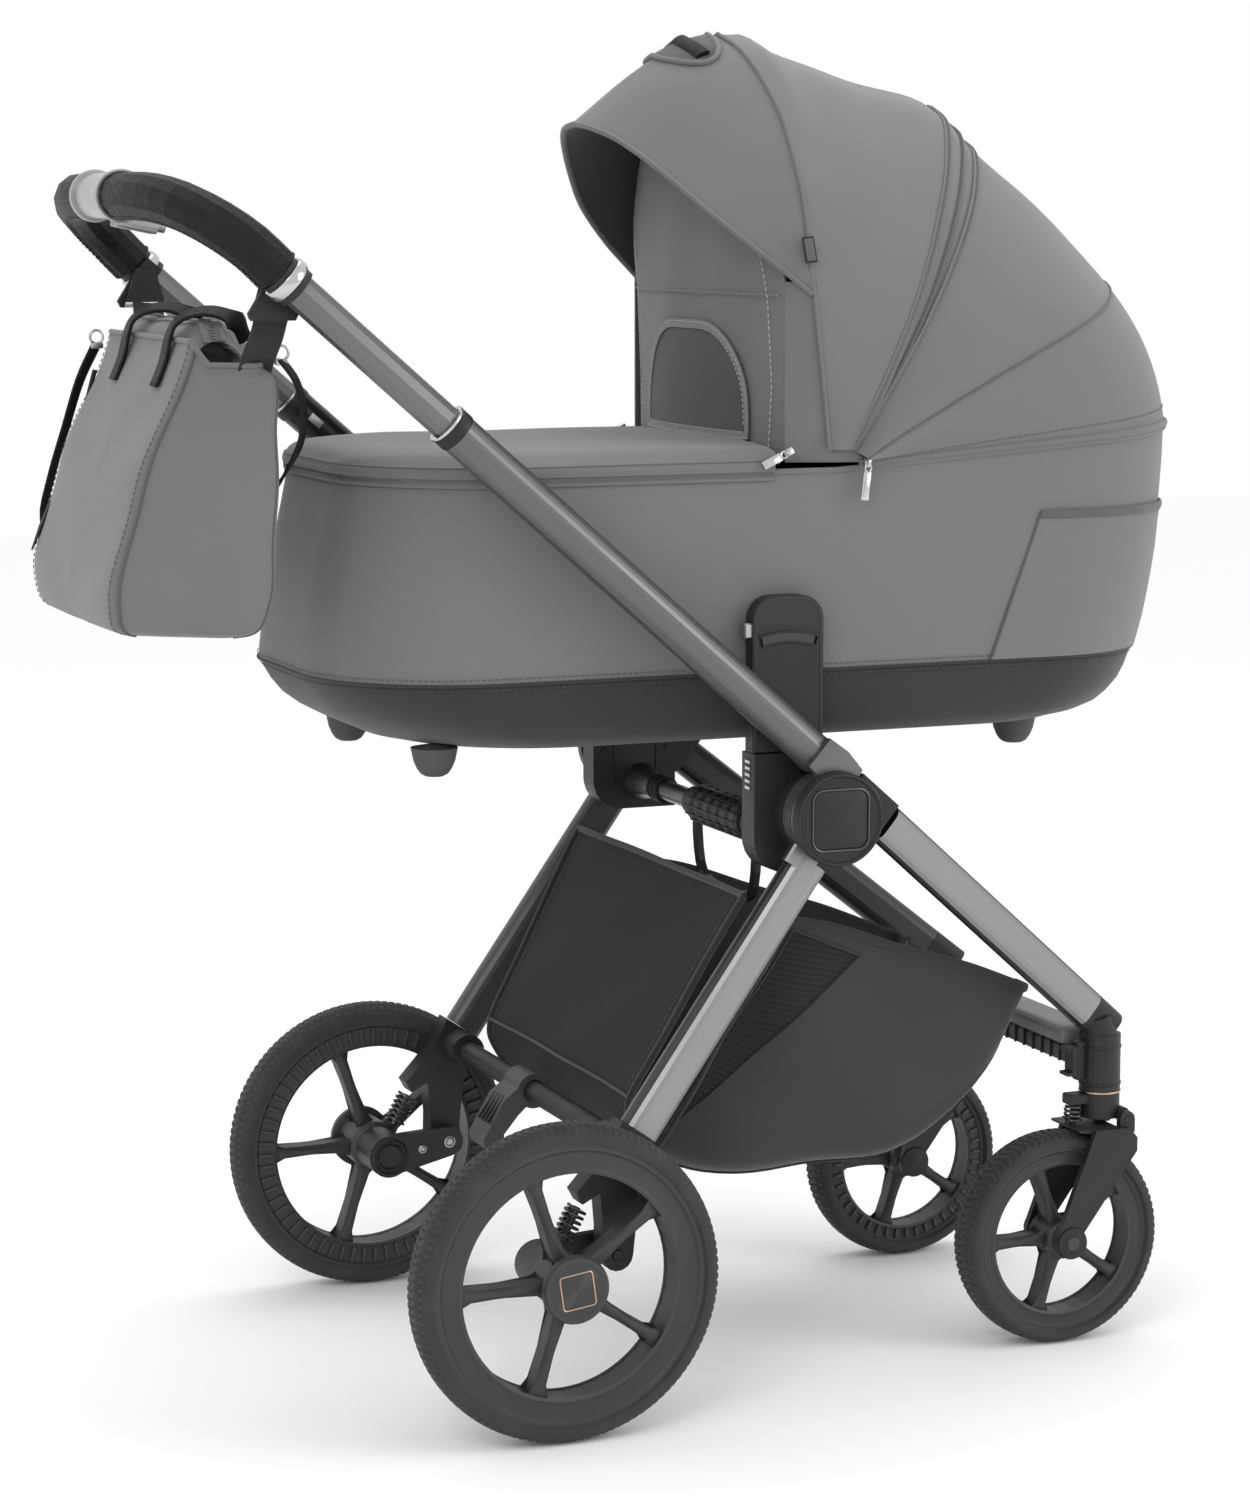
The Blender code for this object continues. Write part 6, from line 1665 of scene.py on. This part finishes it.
def rear_panel():
    stations = [((0.2070, 0.4670), 0.2050), ((0.1820, 0.4240), 0.2010), ((0.1560, 0.3800), 0.1960),
                ((0.1310, 0.3350), 0.1910), ((0.1080, 0.2930), 0.1860), ((0.1030, 0.2780), 0.1840),
                ((0.1040, 0.2620), 0.1820), ((0.1200, 0.2300), 0.1760)]
    rows = []
    for p in smooth_path([Vector((x, half, z)) for (x, z), half in stations], 5):
        row = []
        for k in range(33):
            v = k / 16 - 1
            sag = 0.0030 * (1 - v * v) + 0.0012 * math.sin(6 * v + 40 * p.z)
            row.append(Vector((p.x - 0.0030 + sag * 0.8, p.y * v, p.z)))
        rows.append(row)
    # The panel's cloth is the darker charcoal copy, painted shade under the cot.
    obj = loft("rear_panel_cloth", rows, DARK, "rear_frame", "charcoal_fabric", shell=0.0040,
               replaces="rear_panel", turn=False)
    facing = Vector((-0.86, 0, 0.5))
    out = facing * 0.0016
    made = [sweep([r[j] for r in rows], circle(0.0034, 10)) for j in (0, -1)]
    made.append(sweep(rows[0], circle(0.0032, 10)))
    made.append(sweep(rows[-1], circle(0.0028, 10)))
    parts("rear_panel_binding", made, DARK_TRIM, "rear_frame", "charcoal_fabric")
    fold = [p + out for p in rows[23]]
    bead("rear_panel_fold", fold, 0.0015, DARK_TRIM, "rear_frame", "charcoal_fabric")
    made = []
    for j in (1, -2):
        made += stitches([r[j] + out for r in rows], facing, 0.0034, 0.0026, 0.0004)
    parts("rear_panel_stitches", made, THREAD_DARK, "rear_frame", "charcoal_fabric")


# ---------------------------------------------------------------- nursery bag

BAG_LEVELS = [
    (0.7200, -0.3440, -0.2600, 0.116, 0.166),
    (0.7235, -0.3560, -0.2470, 0.127, 0.180),
    (0.7310, -0.3640, -0.2390, 0.133, 0.187),
    (0.7480, -0.3665, -0.2345, 0.138, 0.192),
    (0.7700, -0.3650, -0.2310, 0.141, 0.196),
    (0.8150, -0.3530, -0.2290, 0.142, 0.197),
    (0.8600, -0.3390, -0.2270, 0.141, 0.196),
    (0.9000, -0.3220, -0.2265, 0.141, 0.195),
    (0.9300, -0.3080, -0.2260, 0.140, 0.194),
    (0.9500, -0.2990, -0.2270, 0.139, 0.193),
    (0.9640, -0.2930, -0.2290, 0.138, 0.192),
    (0.9740, -0.2890, -0.2370, 0.136, 0.180),
]


def bag_half_ring(z, front, back, front_half, back_half):
    """The near half of the bag's outline at a level, from the middle of the front to the back's."""
    sag = math.sin(max(0.0, min(1.0, (z - 0.72) / 0.25)) * math.pi)
    corners = [
        (front - 0.003 * sag, 0.0), (front - 0.002 * sag, -front_half * 0.5), (front, -front_half * 0.93),
        (lerp(front, back, 0.06), -front_half * 1.015),
        (lerp(front, back, 0.30), -lerp(front_half, back_half, 0.34)),
        (lerp(front, back, 0.58), -lerp(front_half, back_half, 0.66)),
        (lerp(front, back, 0.86), -back_half * 0.99),
        (lerp(front, back, 0.97), -back_half * 0.965), (back, -back_half * 0.90),
        (back + 0.001, -back_half * 0.5), (back + 0.001, 0.0),
    ]
    return [Vector((x, y, z)) for x, y in corners]


def bag_rings():
    coarse = [bag_half_ring(*level) for level in BAG_LEVELS]
    columns = [smooth_path([ring[j] for ring in coarse], 4) for j in range(len(coarse[0]))]
    rings = []
    for i in range(len(columns[0])):
        half = smooth_path([c[i] for c in columns], 4)
        ring = []
        for j, p in enumerate(half):
            # The sides' upper edge lies lower than the front's and the back's.
            near_top = max(0.0, min(1.0, (p.z - 0.88) / 0.09)) ** 1.5
            down = table([(11, 0.0), (15, 1.0), (33, 1.0), (38, 0.25)], j) * near_top
            q = p - Vector((0, 0, 0.0200 * down))
            if abs(p.y) > 1e-4:
                q = q + Vector((0.0012 * math.sin(p.z * 60 + p.y * 30),
                                0.0010 * math.sin(p.z * 45 + p.x * 50), 0))
            ring.append(q)
        rings.append(ring)
    return rings


def bag():
    halves = bag_rings()
    rings = [half + [Vector((p.x, -p.y, p.z)) for p in reversed(half[1:-1])] for half in halves]
    floor = [[Vector((lerp(-0.30, p.x, s), p.y * s, 0.7192)) for p in rings[0]] for s in (0.5, 0.9)]
    top = rings[-1]
    middle_x = sum(p.x for p in top) / len(top)

    def inside(s, d):
        return [Vector((middle_x + (p.x - middle_x) * s, p.y * s, p.z + d)) for p in top]

    inner = [inside(s, d) for s, d in ((0.985, 0.0022), (0.955, 0.0012), (0.945, -0.006), (0.93, -0.018))]
    rows = floor + rings + inner
    obj = loft("bag_shell", rows, FABRIC, "bag_body", "grey_fabric", around=True, caps=(True, True),
               replaces="bag", turn=True)
    # The piped seams down each front corner and down the middle of each side, and the stitches on the front.
    corner_column, side_column, stitch_column = 12, 28, 9

    def down_the_bag(column, turn, outwards):
        return [Vector((h[column].x, h[column].y * turn, h[column].z))
                + Vector((-0.0006, -turn * outwards, 0))
                for h in halves]

    # The piping's darker grey paints the shade along these seams.
    piped = [sweep(down_the_bag(column, turn, 0.0010), circle(0.0013, 8))
             for column in (corner_column, side_column) for turn in (1, -1)]
    parts("bag_piping", piped, SEAM_SHADE, "bag_body", "grey_fabric")
    lines = []
    for turn in (1, -1):
        lines += stitches(down_the_bag(stitch_column, turn, 0.0012), Vector((-0.5, -turn, 0)), 0.0032,
                          0.0024, 0.0004)
    parts("bag_stitches", lines, SEAM_SHADE, "bag_body", "grey_fabric")
    rim = [p + Vector((0, 0, 0.0015)) for p in rings[-1]]
    bead("bag_rim", rim, 0.0026, FABRIC_TRIM, "bag_body", "grey_fabric", closed=True)
    verts, faces, _ = grid([inside(q, -0.013) for q in (0.92, 0.5)], around=True, caps=(False, True))
    parts("bag_opening", [(verts, faces)], LINING, "bag_body", "dark_lining", shell=0.001)
    # The closed top: a folded roof of cloth between the front and back edges, with a zip along it.
    rows = []
    for k in range(29):
        y = lerp(-0.128, 0.128, k / 28)
        end = max(0.0, (abs(y) - 0.100) / 0.028)
        row = []
        for u in (i / 12 for i in range(13)):
            hump = math.sin(math.pi * u)
            z = 0.9700 + (0.0210 - 0.0040 * end * end) * hump ** 0.7 - 0.012 * end * end
            z += 0.0010 * math.sin(y * 70 + u * 5)
            row.append(Vector((lerp(-0.2870, -0.2400, u), y - math.copysign(0.010 * end * hump, y), z)))
        rows.append(row)
    roof = loft("bag_roof", rows, FABRIC, "bag_body", "grey_fabric", shell=0.0016, turn=False)
    mid = [row[6] + Vector((0, 0, 0.0010)) for row in rows]
    parts("bag_top_zip", zip_line(mid, lambda p: UP, 0.0030, 0.0044), ZIP_PLASTIC, "bag_body", "grey_fabric")
    section = [(u * 1.2, v * 0.6) for u, v in circle(0.0024, 10)]
    folds = [sweep([row[j] + Vector((0, 0, 0.0006)) for row in rows], section, guide=UP) for j in (4, 8)]
    parts("bag_top_folds", folds, FABRIC_TRIM, "bag_body", "grey_fabric")

    # Two flat leather handles, sewn to the front and laid over the roof.
    def front_at(y, z, out):
        x = table([(level[0], level[1]) for level in BAG_LEVELS], z)
        return Vector((x - 0.0035 - out, y, z))

    made = []
    for y in (0.052, -0.088):
        line = smooth_path([front_at(y, 0.9350, 0.0010), front_at(y, 0.9560, 0.0016),
                            Vector((-0.2960, y, 0.9780)),
                            Vector((-0.2900, y - 0.002, 0.9905)), Vector((-0.2770, y - 0.008, 0.9985)),
                            Vector((-0.2590, y - 0.016, 1.0000)), Vector((-0.2420, y - 0.022, 0.9920)),
                            Vector((-0.2330, y - 0.026, 0.9740))], 5)
        made.append(sweep(line, flat(0.0200, 0.0034), guide=Vector((-1, 0, 1))))
    parts("bag_rolled_handle", made, LEATHER, "bag_body", "black_leatherette")
    # Webbing that carries the bag, with its triangular metal brackets and their rivets.
    made, metal, rivets = [], [], []
    x, z = -0.237, 1.005
    for _, side in SIDES:
        tape = [Vector((x + 0.001, side * 0.2010, 0.9990)), Vector((x - 0.001, side * 0.1900, 0.9800)),
                Vector((x - 0.004, side * 0.1760, 0.9620)), Vector((x - 0.006, side * 0.1660, 0.9450))]
        made.append(sweep(smooth_path(tape, 4), flat(0.0300, 0.0026), guide=Vector((0, side, 0))))
        bar = [Vector((x - 0.0205, side * 0.2030, 0.9985)), Vector((x + 0.0205, side * 0.2030, 0.9985))]
        metal.append(sweep(bar, circle(0.0024, 10)))
        outline = ((-0.0190, 0.9990), (0.0190, 0.9990), (0.0095, 1.0320), (-0.0095, 1.0320))
        front = [Vector((x + a, side * 0.2085, h)) for a, h in outline]
        back = [p - Vector((0, side * 0.0030, 0)) for p in front]
        rivets.append((front + back,
                       [(0, 1, 2, 3), (7, 6, 5, 4)]
                       + [(i, i + 4, (i + 1) % 4 + 4, (i + 1) % 4) for i in range(4)]))
        for d in (0.003, 0.017):
            rivets.append(lathe([(0.0, 0.0024), (0.0022, 0.0020), (0.0036, 0.0008), (0.0040, 0.0),
                                 (0.0, -0.001)],
                                (x - 0.0005, side * 0.2090, z + d), (0, side, 0), 20))
    parts("bag_webbing", made, WEBBING, "bag_body", "charcoal_fabric")
    parts("bag_hook_bars", metal, CHROME, "bag_body", "silver_metal")
    parts("bag_hook_plates", rivets, PLASTIC, "bag_body", "matte_black_plastic")
    strap()


STRAP_ROUTE = [
    (-0.2180, -0.168, 0.9600), (-0.2080, -0.178, 0.9420), (-0.2030, -0.182, 0.9180),
    (-0.2030, -0.176, 0.8920), (-0.2090, -0.160, 0.8680), (-0.2140, -0.120, 0.8400),
    (-0.2150, -0.050, 0.8120), (-0.2150, 0.040, 0.7920), (-0.2150, 0.120, 0.7800), (-0.2190, 0.185, 0.7740),
    (-0.2450, 0.211, 0.7720), (-0.2900, 0.203, 0.7720), (-0.3280, 0.187, 0.7760), (-0.3470, 0.177, 0.8000),
    (-0.3400, 0.172, 0.8400), (-0.3270, 0.166, 0.8850), (-0.3140, 0.159, 0.9300), (-0.2990, 0.152, 0.9640),
]


def strap():
    """The shoulder strap: limp leather, clipped at both ends, hanging round the back of the bag."""
    path = smooth_path(STRAP_ROUTE, 4)
    ups = [Vector((p.x + 0.285, p.y * 0.55, 0.0)).normalized() for p in path]
    verts, faces = sweep(path, flat(0.0100, 0.0030), guide=ups)
    obj = piece("shoulder_strap", verts, faces, LEATHER, "bag_body", "black_leatherette",
                replaces="bag_strap")
    made = []
    for p in (path[0], path[-1]):
        side = math.copysign(1, p.y)
        ring = [p + Vector((0.0, side * 0.001, 0.006))
                + Vector((0.0062 * math.cos(a), 0, 0.0062 * math.sin(a)))
                for a in (2 * math.pi * i / 24 for i in range(24))]
        made.append(sweep(ring, circle(0.0013, 8), True))
        made.append(box_part(p + Vector((0, 0, -0.002)), (0.0120, 0.0050, 0.0060), None, 0.3))
    clips = parts("strap_clips", made, SILVER, "bag_body", "silver_metal")
    tail = smooth_path([(-0.3043, 0.140, 0.9400), (-0.3177, 0.140, 0.8945), (-0.3350, 0.138, 0.8480),
                        (-0.3530, 0.136, 0.8110), (-0.3690, 0.134, 0.7750)], 5)
    parts("strap_tail",
          [sweep(tail, flat(0.0100, 0.0026), guide=Vector((-1, 0, 0.2)),
                 taper=lambda t: 1.0 if t < 0.85 else 1 - (t - 0.85) * 4)],
          LEATHER, "bag_body", "black_leatherette")


# ---------------------------------------------------------------- everything

stage_set()
paint_frame()
for TAG, SIDE in SIDES:
    wheel(TAG, SIDE, False)
    wheel(TAG, SIDE, True)
springs()
hub_fittings()
tube_fittings()
adapter_fittings()
caster_fittings()
rear_fittings()
front_fittings()
grips()
folding_fittings()
carrycot()
wind_flap()
canopy()
basket()
rear_panel()
bag()
